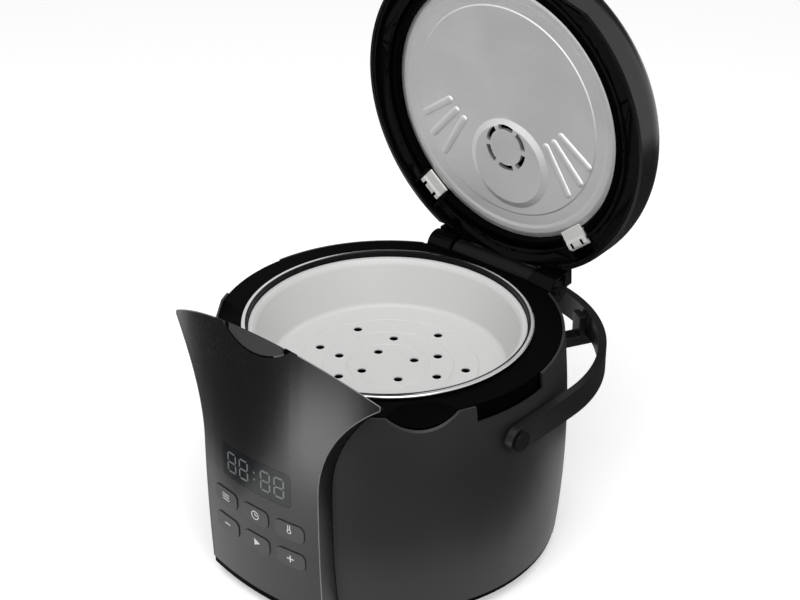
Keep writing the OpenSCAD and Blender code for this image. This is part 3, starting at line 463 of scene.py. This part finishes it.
def dress_rounded(node: str, body: str, finish: Finish, width: float) -> None:
    """Shows a solid, which moves with a body, with a finish and edges rounded to a width in metres."""
    stand_in(dress(Shape.rounded(node, width), finish), body, node)


def stand_in(made: Piece, body: str, *nodes: str) -> None:
    """Lets a dressed piece show in place of solids and move with their body."""
    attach(made, body)
    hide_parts(*nodes)
    log.info("piece %s on %s", made.name, body)


def add_on(made: Piece, body: str) -> None:
    """Lets a dressed piece that no solid has move with a body."""
    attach(made, body)
    log.info("detail %s on %s", made.name, body)


def run_nodes(
    made: Piece, name: str, entries: Sequence[tuple[str, str, Any]], wire: Callable[[Tree], None]
) -> Piece:
    """Runs a Geometry Nodes group on a piece, which becomes a plain mesh.

    Args:
        made: Piece that the group works on.
        name: Name of the group.
        entries: Label, kind of socket and value of each input beside the geometry.
        wire: Adds the nodes and links of the group.
    """
    tree = bpy.data.node_groups.new(name, "GeometryNodeTree")
    face = tree.interface
    face.new_socket("Geometry", in_out="INPUT", socket_type="NodeSocketGeometry")
    values = {}
    for label, kind, value in entries:
        socket = face.new_socket(label, in_out="INPUT", socket_type=f"NodeSocket{kind}")
        values[socket.identifier] = value
    face.new_socket("Geometry", in_out="OUTPUT", socket_type="NodeSocketGeometry")
    wire(tree)
    step = made.modifiers.new(name, "NODES")
    step.node_group = tree
    for key, value in values.items():
        step[key] = value
    return Shape.plain(made)


def show(tree: Tree, mesh: Socket, finish: Socket) -> None:
    """Ends a Geometry Nodes group with a mesh and its finish."""
    dressed = add(tree, "GeometryNodeSetMaterial", {"Geometry": mesh, "Material": finish})
    add(tree, "NodeGroupOutput", {"Geometry": dressed.outputs["Geometry"]})


@dataclass(frozen=True)
class Perforation:
    """Round holes that Geometry Nodes cut through a piece.

    Attributes:
        radius: Radius of a hole.
        depth: Length of the cutting cylinder.
        sides: Number of sides of a hole.
    """

    radius: float
    depth: float
    sides: int = 40

    def cut(self, made: Piece, places: Sequence[Vector], finish: Finish) -> None:
        """Cuts a hole at each place of a closed piece, which becomes a plain mesh with a finish."""
        dots = bpy.data.meshes.new("hole_places")
        dots.from_pydata([tuple(p) for p in places], [], [])
        marker = Shape.piece("hole_places", dots)
        run_nodes(made, "perforation", (
            ("Places", "Object", marker), ("Hole radius", "Float", self.radius),
            ("Hole depth", "Float", self.depth), ("Hole sides", "Int", self.sides),
            ("Finish", "Material", finish.material()),
        ), self._wire)
        bpy.data.objects.remove(marker)

    @staticmethod
    def _wire(tree: Tree) -> None:
        """Adds the nodes: cylinders on the places, cut out of the piece, and its finish."""
        given = add(tree, "NodeGroupInput", {}).outputs
        places = add(tree, "GeometryNodeObjectInfo", {"Object": given["Places"]}).outputs["Geometry"]
        drill = add(tree, "GeometryNodeMeshCylinder", {
            "Radius": given["Hole radius"], "Depth": given["Hole depth"], "Vertices": given["Hole sides"],
        }).outputs["Mesh"]
        copies = add(tree, "GeometryNodeInstanceOnPoints", {"Points": places, "Instance": drill})
        real = add(tree, "GeometryNodeRealizeInstances", {"Geometry": copies.outputs["Instances"]})
        holed = add(tree, "GeometryNodeMeshBoolean", {
            "Mesh 1": given["Geometry"], "Mesh 2": real.outputs["Geometry"],
        }, operation="DIFFERENCE", solver="EXACT").outputs["Mesh"]
        show(tree, holed, given["Finish"])


@dataclass(frozen=True)
class Beading:
    """Thin round bead that Geometry Nodes sweep along edges.

    Attributes:
        radius: Radius of the bead.
        sides: Number of sides of the bead.
    """

    radius: float
    sides: int = 8

    def sweep(self, made: Piece, finish: Finish) -> Piece:
        """Turns a piece of bare edges into a bead along them, a plain mesh with a finish."""
        return run_nodes(made, "beading", (
            ("Bead radius", "Float", self.radius), ("Bead sides", "Int", self.sides),
            ("Finish", "Material", finish.material()),
        ), self._wire)

    @staticmethod
    def _wire(tree: Tree) -> None:
        """Adds the nodes: the edges as curves, a round section along them, and its finish."""
        given = add(tree, "NodeGroupInput", {}).outputs
        line = add(tree, "GeometryNodeMeshToCurve", {"Mesh": given["Geometry"]}).outputs["Curve"]
        section = add(tree, "GeometryNodeCurvePrimitiveCircle", {
            "Radius": given["Bead radius"], "Resolution": given["Bead sides"],
        }).outputs["Curve"]
        entries = {"Curve": line, "Profile Curve": section, "Fill Caps": True}
        show(tree, add(tree, "GeometryNodeCurveToMesh", entries).outputs["Mesh"], given["Finish"])


@dataclass
class Housing:
    """Base, shell, top ring, hinge barrel and what stands in them."""

    edge: float = 0.5 * MM
    soft_edge: float = 0.8 * MM

    def build(self) -> None:
        """Dresses every piece of the housing."""
        for node, finish, width in (
            ("outer_shell", SHELL_GREY, self.edge), ("top_ring", BLACK_MOULDING, self.soft_edge),
            ("base_cover", BLACK_MOULDING, self.edge), ("foot_pads", RUBBER, self.edge),
            ("hinge_barrel", DARK_MOULDING, self.edge), ("handle_rests", HANDLE_BLACK, self.soft_edge),
            ("handle_pivots", DARK_MOULDING, self.edge), ("power_inlet", BLACK_MOULDING, self.edge),
        ):
            dress_rounded(node, "base", finish, width)
        for node, finish in (
            ("base_screws", STEEL), ("hinge_pin", PIN_STEEL), ("latch_pin", STEEL),
            ("inner_well", WELL_METAL), ("heating_plate", CAST_ALUMINIUM), ("heater_element", HEATER_STEEL),
            ("temperature_sensor", PLATE_ALUMINIUM), ("sensor_bracket", STEEL), ("thermal_fuse", CERAMIC),
            ("control_board", LAMINATE), ("power_board", LAMINATE), ("inlet_pins", STEEL),
        ):
            dress_solid(node, finish)


def bar(x: float, z: float, width: float, height: float) -> list[Point]:
    """Returns the corners of an upright rectangle about a middle."""
    across, up = width / 2, height / 2
    return [(x - across, z - up), (x + across, z - up), (x + across, z + up), (x - across, z + up)]


def ring(radius: float, width: float, steps: int = 20) -> list[list[Point]]:
    """Returns the four-sided pieces of a flat ring."""
    turns = [(math.cos(math.tau * i / steps), math.sin(math.tau * i / steps)) for i in range(steps + 1)]
    inner, outer = radius - width / 2, radius + width / 2
    return [
        [(inner * c, inner * s), (outer * c, outer * s), (outer * d, outer * t), (inner * d, inner * t)]
        for (c, s), (d, t) in zip(turns, turns[1:])
    ]


BUTTONS = ("menu", "timer", "temperature", "minus", "start", "plus")
SIGNS: dict[str, list[list[Point]]] = {
    "menu": [bar(0, z, 8.0, 0.9) for z in (-2.4, 0.0, 2.4)],
    "timer": ring(3.6, 0.8) + [bar(0, 1.2, 0.8, 2.4), bar(1.2, 0, 2.4, 0.8)],
    "temperature": ring(1.7, 0.8) + [bar(-0.9, 3.6, 0.7, 4.4), bar(0.9, 3.6, 0.7, 4.4)],
    "minus": [bar(0, 0, 6.4, 1.1)],
    "start": [[(-2.4, -3.2), (3.6, 0.0), (-2.4, 3.2)]],
    "plus": [bar(0, 0, 6.4, 1.1), bar(0, 1.9, 1.1, 2.6), bar(0, -1.9, 1.1, 2.6)],
}


@dataclass
class FrontPanel:
    """Arched panel with its display, buttons and lid release. Lengths without MM are in millimetres."""

    edge: float = 0.7 * MM
    window_edge: float = 0.3 * MM
    bend_y: float = 113.0
    widest_r: float = 153.5
    widest_z: float = 100.0
    arc: float = 1654.2
    columns: Corner = (-34.0, 0.0, 34.0)
    rows: Point = (88.0, 62.0)
    button_proud: float = 0.8
    ink: Point = (0.03, -0.1)
    display_z: float = 124.0
    digit_x: tuple[float, ...] = (-25.0, -11.5, 11.5, 25.0)
    digit_up: float = 8.5
    digit_half: float = 4.4
    level_w: float = 7.0
    post_h: float = 6.4
    segment_t: float = 1.5
    dot: float = 1.6
    dot_up: float = 3.0
    crest_z: float = 246.5
    crest_r: float = 206.0
    crest_half: float = 105.0
    crest_fall: float = 1.1
    cut_half: float = 125.0
    cut_over: float = 0.2
    cut_front: float = 6.0
    cut_back: float = -45.0
    cut_up: float = 40.0
    cut_steps: int = 160
    release_half: float = 27.5
    cheek_x: Point = (0.6, 11.0)
    cheek_low: float = 230.0
    cheek_drop: float = 1.9
    cheek_y: Point = (-1.6, -3.2)
    highlight_r: float = 0.4
    highlight_slack: float = 0.1
    visor_low: float = 149.0
    recess_half: float = 39.5
    column_half: float = 57.0

    def build(self) -> None:
        """Dresses the panel and its controls."""
        for node, body, finish in (
            ("control_panel", "base", GLOSS_BLACK), ("visor_body", "base", DARK_MOULDING),
            ("release_button", "release", RELEASE_GREY),
        ):
            stand_in(dress(Shape.rounded(node, self.edge, self._fall), finish), body, node)
        self._painted_highlight()
        self._cheeks()
        dress_rounded("display_window", "base", DISPLAY_GLASS, self.window_edge)
        dress_solid("latch_lever", DARK_MOULDING)
        for i, name in enumerate(BUTTONS):
            dress_rounded(f"{name}_button", name, BUTTON_GREY, self.edge)
            self._mark(name, (self.columns[i % 3], self.rows[i // 3]))
        self._digits()

    def _crest(self, x: float) -> float:
        """Returns the height of the panel's arched top, in millimetres."""
        across = min(abs(x), self.crest_half)
        return self.crest_z - self.crest_r + math.sqrt(self.crest_r ** 2 - across ** 2)

    def _reach(self, z: float) -> float:
        """Returns the radius of the panel's bend at a height, in millimetres."""
        fall = self.arc - math.sqrt(self.arc ** 2 - (z - self.widest_z) ** 2)
        return self.bend_y + self.widest_r - fall

    def _point(self, x: float, z: float, proud: float) -> Vector:
        """Returns a point in front of the panel's face, in metres, from lengths in millimetres."""
        reach = self._reach(z) + proud
        return Vector((x, self.bend_y - math.sqrt(reach ** 2 - x ** 2), z)) * MM

    def _fall(self) -> Piece:
        """Returns the cutter that lets the panel's top fall away behind its front edge."""
        front, back, loops = self.cut_front, self.cut_back, []
        for i in range(self.cut_steps + 1):
            x = self.cut_half * (2.0 * i / self.cut_steps - 1.0)
            top = self._crest(x) + self.cut_over
            over = top + self.cut_up
            section = (
                (front, top + front * self.crest_fall), (back, top + back * self.crest_fall),
                (back, over), (front, over),
            )
            loops.append([Vector((*self._point(x, top, proud).xy, z * MM)) for proud, z in section])
        work = bmesh.new()
        Shape.loft(work, loops)
        return Shape.finished("crest_fall", work)

    def _painted_highlight(self) -> None:
        """Runs a thin light-grey bead along the outer edge of the panel's face: a painted highlight for the
        shine on the edge.
        """
        work = Shape.merged(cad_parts["control_panel"].data)
        edges = [e for e in Shape.sharp_edges(work) if all(self._outer(v.co) for v in e.verts)]
        verts = list(dict.fromkeys(v for e in edges for v in e.verts))
        number = {v: i for i, v in enumerate(verts)}
        mesh = bpy.data.meshes.new("panel_trim")
        mesh.from_pydata([tuple(v.co) for v in verts], [[number[v] for v in e.verts] for e in edges], [])
        work.free()
        made = Beading(self.highlight_r * MM).sweep(Shape.piece("panel_trim", mesh), PAINTED_HIGHLIGHT_GREY)
        Shape.smooth(made.data)
        add_on(made, "base")

    def _outer(self, place: Vector) -> bool:
        """Tells whether a place lies on the outer edge of the panel's face."""
        x, y, z = place / MM
        across = abs(x)
        outer = (z > self.visor_low and across > self.recess_half) or across > self.column_half
        return outer and abs(self._reach(z) - math.hypot(x, y - self.bend_y)) < self.highlight_slack

    def _cheeks(self) -> None:
        """Closes the recess beside the release button with dark walls."""
        work = bmesh.new()
        near, far = (self.release_half + x for x in self.cheek_x)
        low, drop = self.cheek_low, self.cheek_drop
        outline = [(near, low), (far, low), (far, self._crest(far) - drop), (near, self._crest(near) - drop)]
        for side in (-1, 1):
            Shape.loft(work, [
                [self._point(side * x, z, proud) for x, z in outline] for proud in self.cheek_y
            ])
        made = Shape.finished("recess_cheeks", work)
        add_on(dress(made, BLACK_MOULDING), "base")

    def _printed(self, name: str, outlines: Sequence[Sequence[Point]], at: Point, proud: float) -> Piece:
        """Returns thin printed shapes that lie on the panel's curve.

        Args:
            name: Name of the piece.
            outlines: Corners of each shape about its middle.
            at: Middle of the shapes, across and up.
            proud: Height of the face that carries them.
        """
        work = bmesh.new()
        for outline in outlines:
            Shape.loft(work, [
                [self._point(at[0] + x, at[1] + z, proud + rise) for x, z in outline] for rise in self.ink
            ])
        return Shape.finished(name, work)

    def _mark(self, name: str, at: Point) -> None:
        """Prints a button's plain sign."""
        made = self._printed(f"{name}_mark", SIGNS[name], at, self.button_proud)
        add_on(dress(made, MARK_WHITE), name)

    def _digits(self) -> None:
        """Lays the unlit digits into the display."""
        up, half, thick = self.digit_up, self.digit_half, self.segment_t
        outlines = [bar(0.0, z, self.dot, self.dot) for z in (-self.dot_up, self.dot_up)]
        for x in self.digit_x:
            outlines += [bar(x, z, self.level_w, thick) for z in (-up, 0.0, up)]
            outlines += [bar(x + s, z, thick, self.post_h) for s in (-half, half) for z in (-up / 2, up / 2)]
        made = self._printed("display_digits", outlines, (0.0, self.display_z), 0.0)
        add_on(dress(made, SEGMENT), "base")


# Inset from the edge, rise over the face and fillet of each corner of a turned section.
PLATE_SECTION: tuple[Corner, ...] = (
    (21, 0, 1.2), (20, 0.7, 1.2), (11.5, 0.7, 2.0), (8.6, 0.1, 3.0), (4.5, 0.1, 5.0), (0, 1.6, 1.0),
    (0, 3, 0.2), (1, 3, 0.2), (1, 2.6, 0.3), (8, 1.6, 0.5), (10, 2.2, 0.5), (21, 2.2, 0.5), (22, 1.2, 0.5),
)
BOSS_SECTION: tuple[Corner, ...] = ((6, -2.6, 2.2), (0.8, -0.2, 1.6), (-0.6, 0.3, 0))
# Distance from the clip's inner edge and rise over its low face of each corner.
CLIP_SECTION: tuple[Point, ...] = (
    (-5, 1.7), (-5, 0.5), (-4.4, 0), (4, 0), (6, -1.4), (10.8, -1.4), (13, 1.0), (13, 6.4), (0, 6.4), (0, 1.7),
)


@dataclass
class Lid:
    """Lid with its liner, inner plate, clips and steam vent. Lengths without MM are in millimetres."""

    edge: float = 0.6 * MM
    cover_edge: float = 0.8 * MM
    plate_z: float = 200.0
    plate_r: float = 111.0
    plate_ends: Point = (0.0, 1.2)
    plate_smooth: float = 24.0
    boss_at: Point = (5.0, 45.0)
    boss_r: float = 40.0
    boss_ends: Point = (-2.6, 0.6)
    boss_steps: int = 128
    bead_root: Point = (17.0, -24.0)
    bead_start: float = 46.0
    bead_w: float = 7.0
    bead_h: float = 1.8
    bead_sink: float = 0.4
    bead_tip: float = 0.05
    bead_levels: int = 6
    bead_steps: int = 12
    beads: tuple[Point, ...] = ((35.6, 86.0), (47.6, 91.0), (59.0, 95.0))
    slot_at: Point = (3.0, 30.0)
    slot_r: float = 18.0
    slot_w: float = 4.2
    slot_span: float = 46.0
    slot_count: int = 6
    slot_steps: int = 10
    slot_cut: float = 6.0
    clip_in: float = 112.5
    clip_w: float = 22.0
    clip_z: float = 195.6
    clip_edge: float = 0.45 * MM
    clip_angle: float = 40.0
    clip_slot_x: Point = (6.5, 11.4)
    clip_slot_y: float = 6.0
    clip_slot_z: Point = (-4.0, 3.0)
    clip_slot_half: float = 1.3
    clip_shade_rise: float = -1.35
    clip_slack: float = 0.05

    def build(self) -> None:
        """Dresses the lid's pieces."""
        dress_rounded("lid_cover", "lid", GLOSS_BLACK, self.cover_edge)
        dress_rounded("lid_liner", "lid", LINER_BLACK, self.edge)
        stand_in(dress(self._plate(), PLATE_ALUMINIUM), "lid", "inner_lid_plate")
        dress_rounded("lid_gasket", "lid", BLACK_MOULDING, self.edge)
        dress_rounded("steam_vent", "lid", BLACK_MOULDING, self.edge)
        dress_rounded("steam_cap", "vent_cap", BLACK_MOULDING, self.edge)
        for side, name in ((-1, "left"), (1, "right")):
            stand_in(self._clip(side, name), f"{name}_clip", f"clip_{name}")
        dress_solid("lid_catch", STEEL)

    def _plate(self) -> Piece:
        """Returns the drawn plate with its steps, boss, beads and vent slots."""
        disc = bmesh.new()
        Shape.revolve(disc, self._section(self.plate_r, PLATE_SECTION, self.plate_ends))
        plate = Shape.finished("inner_lid_plate_dressed", disc)
        boss = bmesh.new()
        middle = (self.boss_at[0] * MM, self.boss_at[1] * MM)
        Shape.revolve(boss, self._section(self.boss_r, BOSS_SECTION, self.boss_ends), self.boss_steps, middle)
        Shape.combine(plate, Shape.finished("boss", boss), "UNION")
        for side in (-1, 1):
            for fan, end in self.beads:
                Shape.combine(plate, self._bead(side, fan, end), "UNION")
        Shape.combine(plate, self._slots(), "DIFFERENCE")
        plate.data.transform(LID_TURN)
        return Shape.evened(plate, self.plate_smooth)

    def _section(self, radius: float, rows: Sequence[Corner], ends: Point) -> list[Point]:
        """Returns the rounded profile of a turned section over the plate's face.

        Args:
            radius: Radius of its edge.
            rows: Inset from the edge, rise over the face and fillet of each corner.
            ends: Rise of its first and its last point, on the axis.
        """
        z = self.plate_z
        corners = [(radius - inset, z + rise, fillet) for inset, rise, fillet in rows]
        return eased([(0, z + ends[0], 0), *corners, (0, z + ends[1], 0)])

    def _bead(self, side: int, fan: float, end: float) -> Piece:
        """Returns a rounded stiffening bead.

        Args:
            side: -1 for the left of the plate, 1 for the right.
            fan: Direction from the plate's cross line, in degrees.
            end: Distance of its far end from where the beads meet.
        """
        start, half, low = self.bead_start, self.bead_w / 2, self.plate_z + self.bead_sink
        angle = math.radians(fan)
        along = Vector((math.cos(angle), math.sin(angle), 0))
        across = Vector((-math.sin(angle), math.cos(angle), 0))
        root = Vector((*self.bead_root, low))
        loops = []
        for level in range(self.bead_levels + 1):
            t = math.pi / 2 * level / self.bead_levels
            width, lift = max(half * math.cos(t), self.bead_tip), self.bead_h * math.sin(t)
            loop = []
            for middle, turn in ((end - half, -0.5), (start + half, 0.5)):
                for step in range(self.bead_steps + 1):
                    a = math.pi * (turn + step / self.bead_steps)
                    loop.append(
                        root + along * (middle + width * math.cos(a)) + across * (width * math.sin(a))
                    )
            loops.append([Vector((side * p.x, p.y, p.z - lift)) * MM for p in loop])
        work = bmesh.new()
        Shape.loft(work, loops)
        return Shape.finished("bead", work)

    def _slots(self) -> Piece:
        """Returns the cutters of the vent slots, which stand in a circle."""
        work = bmesh.new()
        half, steps = self.slot_w / 2, self.slot_steps
        for slot in range(self.slot_count):
            middle = 90.0 + 360.0 * slot / self.slot_count
            outline = []
            for radius, order in (
                (self.slot_r + half, range(steps + 1)), (self.slot_r - half, range(steps, -1, -1))
            ):
                for i in order:
                    a = math.radians(middle + self.slot_span * (i / steps - 0.5))
                    x, y = self.slot_at[0] + radius * math.cos(a), self.slot_at[1] + radius * math.sin(a)
                    outline.append(Vector((x, y, self.plate_z)) * MM)
            ends = (Vector((0, 0, -self.slot_cut)) * MM, Vector((0, 0, self.slot_cut)) * MM)
            Shape.loft(work, [[p + end for p in outline] for end in ends])
        return Shape.finished("slots", work)

    def _clip(self, side: int, name: str) -> Piece:
        """Returns the spring clip of a side (-1 or 1): a finger, a thick tab and two slots whose walls are
        painted black as painted shade.
        """
        half, low, slot = self.clip_w / 2, self.clip_z, self.clip_slot_half
        near, far = (self.clip_in + x for x in self.clip_slot_x)
        turn = Matrix.Rotation(math.radians(90.0 - side * self.clip_angle), 4, "Z")
        work = bmesh.new()
        Shape.loft(work, [
            [Vector((self.clip_in + x, y, low + z)) * MM for x, z in CLIP_SECTION] for y in (-half, half)
        ])
        Shape.bevel(work, list(work.edges), self.clip_edge)
        tab = Shape.finished(f"clip_{name}_dressed", work)
        cutter = bmesh.new()
        for y in (-self.clip_slot_y, self.clip_slot_y):
            box = ((near, y - slot), (far, y - slot), (far, y + slot), (near, y + slot))
            Shape.loft(cutter, [[Vector((*p, low + z)) * MM for p in box] for z in self.clip_slot_z])
        Shape.combine(tab, Shape.finished("clip_slots", cutter), "DIFFERENCE")
        # The faces inside the two slots take the liner's black: painted shade that makes the pockets read as
        # dark holes.
        for face in tab.data.polygons:
            x, y, z = Vector(face.center) / MM
            beside = abs(abs(y) - self.clip_slot_y) < slot + self.clip_slack
            in_painted_shade = beside and near - self.clip_slack < x < far + self.clip_slack
            face.material_index = int(in_painted_shade and z > low + self.clip_shade_rise)
        tab.data.transform(LID_TURN @ turn)
        return dress(Shape.evened(tab), CLIP_WHITE, LINER_BLACK)


@dataclass
class PotSet:
    """Lift-out pot and steam basket, in millimetres."""

    pot_floor: float = 55.0
    pot_r: float = 110.5
    pot_wall: float = 2.0
    mouth_r: float = 113.25
    mouth_h: float = 9.0
    flare_h: float = 3.0
    corner: float = 14.0
    lip: float = 1.6
    rim_r: float = 116.0
    coat_r: float = 113.0
    pot_smooth: float = 50.0
    fillet_steps: int = 8
    rim_z: float = 195.0
    floor_z: float = 151.0
    floor_t: float = 1.0
    rim_gap: float = 0.5
    rim_drop: float = 4.2
    seat_drop: float = 8.7
    inside: Point = (95.6, 104.8)
    outside: Point = (97.6, 106.6)
    grooves: Corner = (32.0, 52.0, 72.0)
    groove: tuple[Point, ...] = ((0, 0), (0.4, -0.5), (1.2, -0.5), (1.6, 0))
    hole: float = 7.2
    rings: tuple[tuple[float, tuple[float, ...]], ...] = (
        (22.5, (62, 152, 242, 332)),
        (42.5, (17, 60, 125, 200, 244)),
        (50.0, (287, 330)),
        (62.5, (34, 90, 155, 194, 235, 275, 315, 355)),
    )

    def build(self) -> None:
        """Dresses the pot and the basket."""
        stand_in(dress(self._pot(), POT_ALUMINIUM, POT_COAT), "pot", "inner_pot", "pot_base")
        stand_in(dress(self._basket(), BASKET_WHITE), "basket", "steam_basket")

    def _pot(self) -> Piece:
        """Returns the spun pot with its widened mouth and rolled rim."""
        low, r, t, top = self.pot_floor, self.pot_r, self.pot_wall, self.rim_z
        ledge, lip, mouth = top - self.mouth_h, self.lip, self.mouth_r
        flare = ledge - self.flare_h
        profile = eased([
            (0, low, 0), (r, low, self.corner), (r, flare, 2), (mouth, ledge, 1.5), (mouth, top - 2 * lip, 0.4),
            (self.rim_r, top - 2 * lip, lip), (self.rim_r, top, lip), (self.coat_r, top, 0),
            (mouth - t, top, 0.5), (mouth - t, ledge, 1.5), (r - t, flare, 2),
            (r - t, low + t, self.corner - t), (0, low + t, 0),
        ], self.fillet_steps)
        work = bmesh.new()
        bands = Shape.revolve(work, profile)
        coated = next(i for i, (radius, _) in enumerate(profile) if abs(radius - self.coat_r * MM) < WELD)
        for face in (face for band in bands[coated:] for face in band):
            face.material_index = 1
        return Shape.finished("pot_dressed", work, self.pot_smooth)

    def _basket(self) -> Piece:
        """Returns the moulded basket with its grooves and steam holes."""
        z, t, rim = self.floor_z, self.floor_t, self.mouth_r - self.pot_wall - self.rim_gap
        seat, top = self.rim_z - self.seat_drop, self.rim_z - self.rim_drop
        corners: list[Corner] = [(0, z, 0)]
        corners += [(radius + out, z + rise, 0.3) for radius in self.grooves for out, rise in self.groove]
        corners += [
            (self.inside[0], z, 5.0), (self.inside[1], top - 3.6, 9.0), (rim - 3.6, top - 0.2, 1.4),
            (rim, top, 0.7), (rim, seat, 0.3), (rim - 3.0, seat - 0.1, 0.6),
            (self.outside[1], seat - 2.4, 6.0), (self.outside[0], z - t, 6.0), (0, z - t, 0),
        ]
        work = bmesh.new()
        Shape.revolve(work, eased(corners))
        made = Shape.finished("basket_dressed", work)
        places = [
            Vector((r * math.cos(math.radians(a)), r * math.sin(math.radians(a)), z - t / 2)) * MM
            for r, angles in self.rings for a in angles
        ]
        Perforation(self.hole / 2 * MM, 4 * t * MM).cut(made, places, BASKET_WHITE)
        return Shape.evened(made)


@dataclass
class CarryHandle:
    """Carrying hoop."""

    edge: float = 1.2 * MM

    def build(self) -> None:
        """Dresses the hoop."""
        dress_rounded("handle", "handle", HANDLE_BLACK, self.edge)


@dataclass
class Studio:
    """Floor, light and camera.

    Attributes:
        azimuth, elevation: Direction of the camera from the front and above the horizon, in degrees.
        distance: Distance of the camera from the middle of the pot's rim.
        focal_px, width_px, height_px: Focal length and size of the picture in pixels.
        rim_px: Place of the rim's middle in the picture.
        floor_glow: Strength of the floor's own light in what the camera sees.
        soft_light: Strength of the surround where it lights but isn't seen.
        lamps: Name, place, aim, side and power in watts of each lamp.
        low_cards: Outlines of the dark cards that lie at card_z.
        rear_card: Two ends of the upright dark card, and its heights.
    """

    azimuth: float = 41.05
    elevation: float = 29.53
    distance: float = 1.424
    focal_px: float = 1800.0
    width_px: float = 800.0
    height_px: float = 600.0
    rim_px: Point = (387.9, 317.8)
    floor_half: float = 6.0
    floor_grey: float = 0.86
    floor_glow: float = 0.35
    soft_light: float = 0.55
    lamps: tuple[tuple[str, Corner, Corner, float, float], ...] = (
        ("key", (0.35, -0.5, 1.5), (0.0, 0.0, 0.2), 1.4, 16.0),
        ("fill", (1.3, -0.9, 0.7), (0.0, 0.0, 0.15), 0.9, 5.0),
        ("low_front", (0.005, -0.37, 0.012), (0.02, -0.15, 0.12), 0.17, 0.3),
    )
    card_z: float = 0.01
    low_cards: tuple[tuple[str, tuple[Point, ...]], ...] = (
        ("dark_left", ((-1.4, -0.05), (-0.12, -0.22), (-0.12, -1.4), (-1.4, -1.3))),
        ("dark_right", (
            (0.06, -0.22), (0.2, -0.1), (0.2, 0.2), (-0.1, 0.24), (-0.1, 1.0), (0.9, 1.0), (0.9, -1.2),
            (0.06, -1.2),
        )),
    )
    rear_card: tuple[Point, Point, Point] = ((-0.88, 0.85), (0.6, 2.0), (0.35, 1.85))

    def build(self) -> None:
        """Makes the camera, the floor, the world and the lamps."""
        bpy.context.scene.view_settings.view_transform = "Standard"
        self._camera()
        self._floor()
        self._world()
        for lamp in self.lamps:
            self._lamp(*lamp)
        for name, outline in self.low_cards:
            self._flag(name, [(x, y, self.card_z) for x, y in outline])
        left, right, (low, high) = self.rear_card
        self._flag("dark_rear", [(*left, low), (*right, low), (*right, high), (*left, high)])

    def _camera(self) -> None:
        """Puts the camera where the rim's middle falls on its place in the picture."""
        a, e = math.radians(self.azimuth), math.radians(self.elevation)
        back = Vector((math.sin(a) * math.cos(e), -math.cos(a) * math.cos(e), math.sin(e)))
        right = Vector((math.cos(a), math.sin(a), 0.0))
        up = back.cross(right)
        per_px = self.distance / self.focal_px
        off_x = (self.rim_px[0] - self.width_px / 2) * per_px
        off_y = (self.height_px / 2 - self.rim_px[1]) * per_px
        data = bpy.data.cameras.new("camera")
        data.sensor_fit = "HORIZONTAL"
        data.sensor_width = 36.0
        data.lens = self.focal_px * data.sensor_width / self.width_px
        camera = Shape.piece("camera", data)
        turn = Matrix((right, up, back)).transposed()
        place = Vector((0.0, 0.0, RIM_Z)) + back * self.distance - right * off_x - up * off_y
        camera.matrix_world = Matrix.Translation(place) @ turn.to_4x4()
        bpy.context.scene.camera = camera

    def _floor(self) -> None:
        """Lays a pale floor that keeps the object's shadow."""
        half = self.floor_half
        mesh = bpy.data.meshes.new("floor")
        mesh.from_pydata(
            [(-half, -half, 0.0), (half, -half, 0.0), (half, half, 0.0), (-half, half, 0.0)], [], [(0, 1, 2, 3)]
        )
        floor = Shape.piece("floor", mesh)
        material = bpy.data.materials.new("floor")
        material.use_nodes = True
        tree = material.node_tree
        feed(tree, tree.nodes["Principled BSDF"], {
            "Base Color": (*grey(self.floor_grey), 1.0), "Roughness": 0.9, "Specular IOR Level": 0.0,
            "Emission Color": (1.0, 1.0, 1.0, 1.0),
            "Emission Strength": reckon(tree, "MULTIPLY", self._seen(tree), self.floor_glow),
        })
        mesh.materials.append(material)

    @staticmethod
    def _flag(name: str, corners: Sequence[Corner]) -> None:
        """Puts up a dark card that only reflections show."""
        mesh = bpy.data.meshes.new(name)
        mesh.from_pydata(corners, [], [range(len(corners))])
        mesh.materials.append(RUBBER.material())
        card = Shape.piece(name, mesh)
        card.visible_camera = False
        card.visible_diffuse = False
        card.visible_shadow = False

    @staticmethod
    def _seen(tree: Tree) -> Socket:
        """Returns 1 for rays from the camera, a gloss or a clear piece, otherwise 0."""
        path = add(tree, "ShaderNodeLightPath", {}).outputs
        first = reckon(tree, "MAXIMUM", path["Is Camera Ray"], path["Is Glossy Ray"])
        return reckon(tree, "MAXIMUM", first, path["Is Transmission Ray"])

    def _world(self) -> None:
        """Makes a white surround that lights the object softly."""
        world = bpy.data.worlds.new("studio")
        bpy.context.scene.world = world
        world.use_nodes = True
        tree = world.node_tree
        entries = {"Value": self._seen(tree), "To Min": self.soft_light, "To Max": 1.0}
        strength = add(tree, "ShaderNodeMapRange", entries).outputs["Result"]
        feed(tree, tree.nodes["Background"], {"Color": (1.0, 1.0, 1.0, 1.0), "Strength": strength})

    @staticmethod
    def _lamp(name: str, place: Corner, aim: Corner, size: float, power: float) -> None:
        """Adds a soft square lamp at a place, aimed at a point, with its side and its power in watts."""
        data = bpy.data.lights.new(name, "AREA")
        data.size = size
        data.energy = power
        lamp = Shape.piece(name, data)
        lamp.location = place
        lamp.rotation_mode = "QUATERNION"
        lamp.rotation_quaternion = (Vector(aim) - Vector(place)).to_track_quat("-Z", "Y")


def main() -> None:
    """Builds the sub-assemblies in order and the studio round them."""
    logging.basicConfig(level=logging.INFO, format="%(message)s")
    for part in (Housing(), FrontPanel(), Lid(), PotSet(), CarryHandle(), Studio()):
        log.info("building %s", type(part).__name__)
        part.build()


if __name__ == "__main__":
    main()
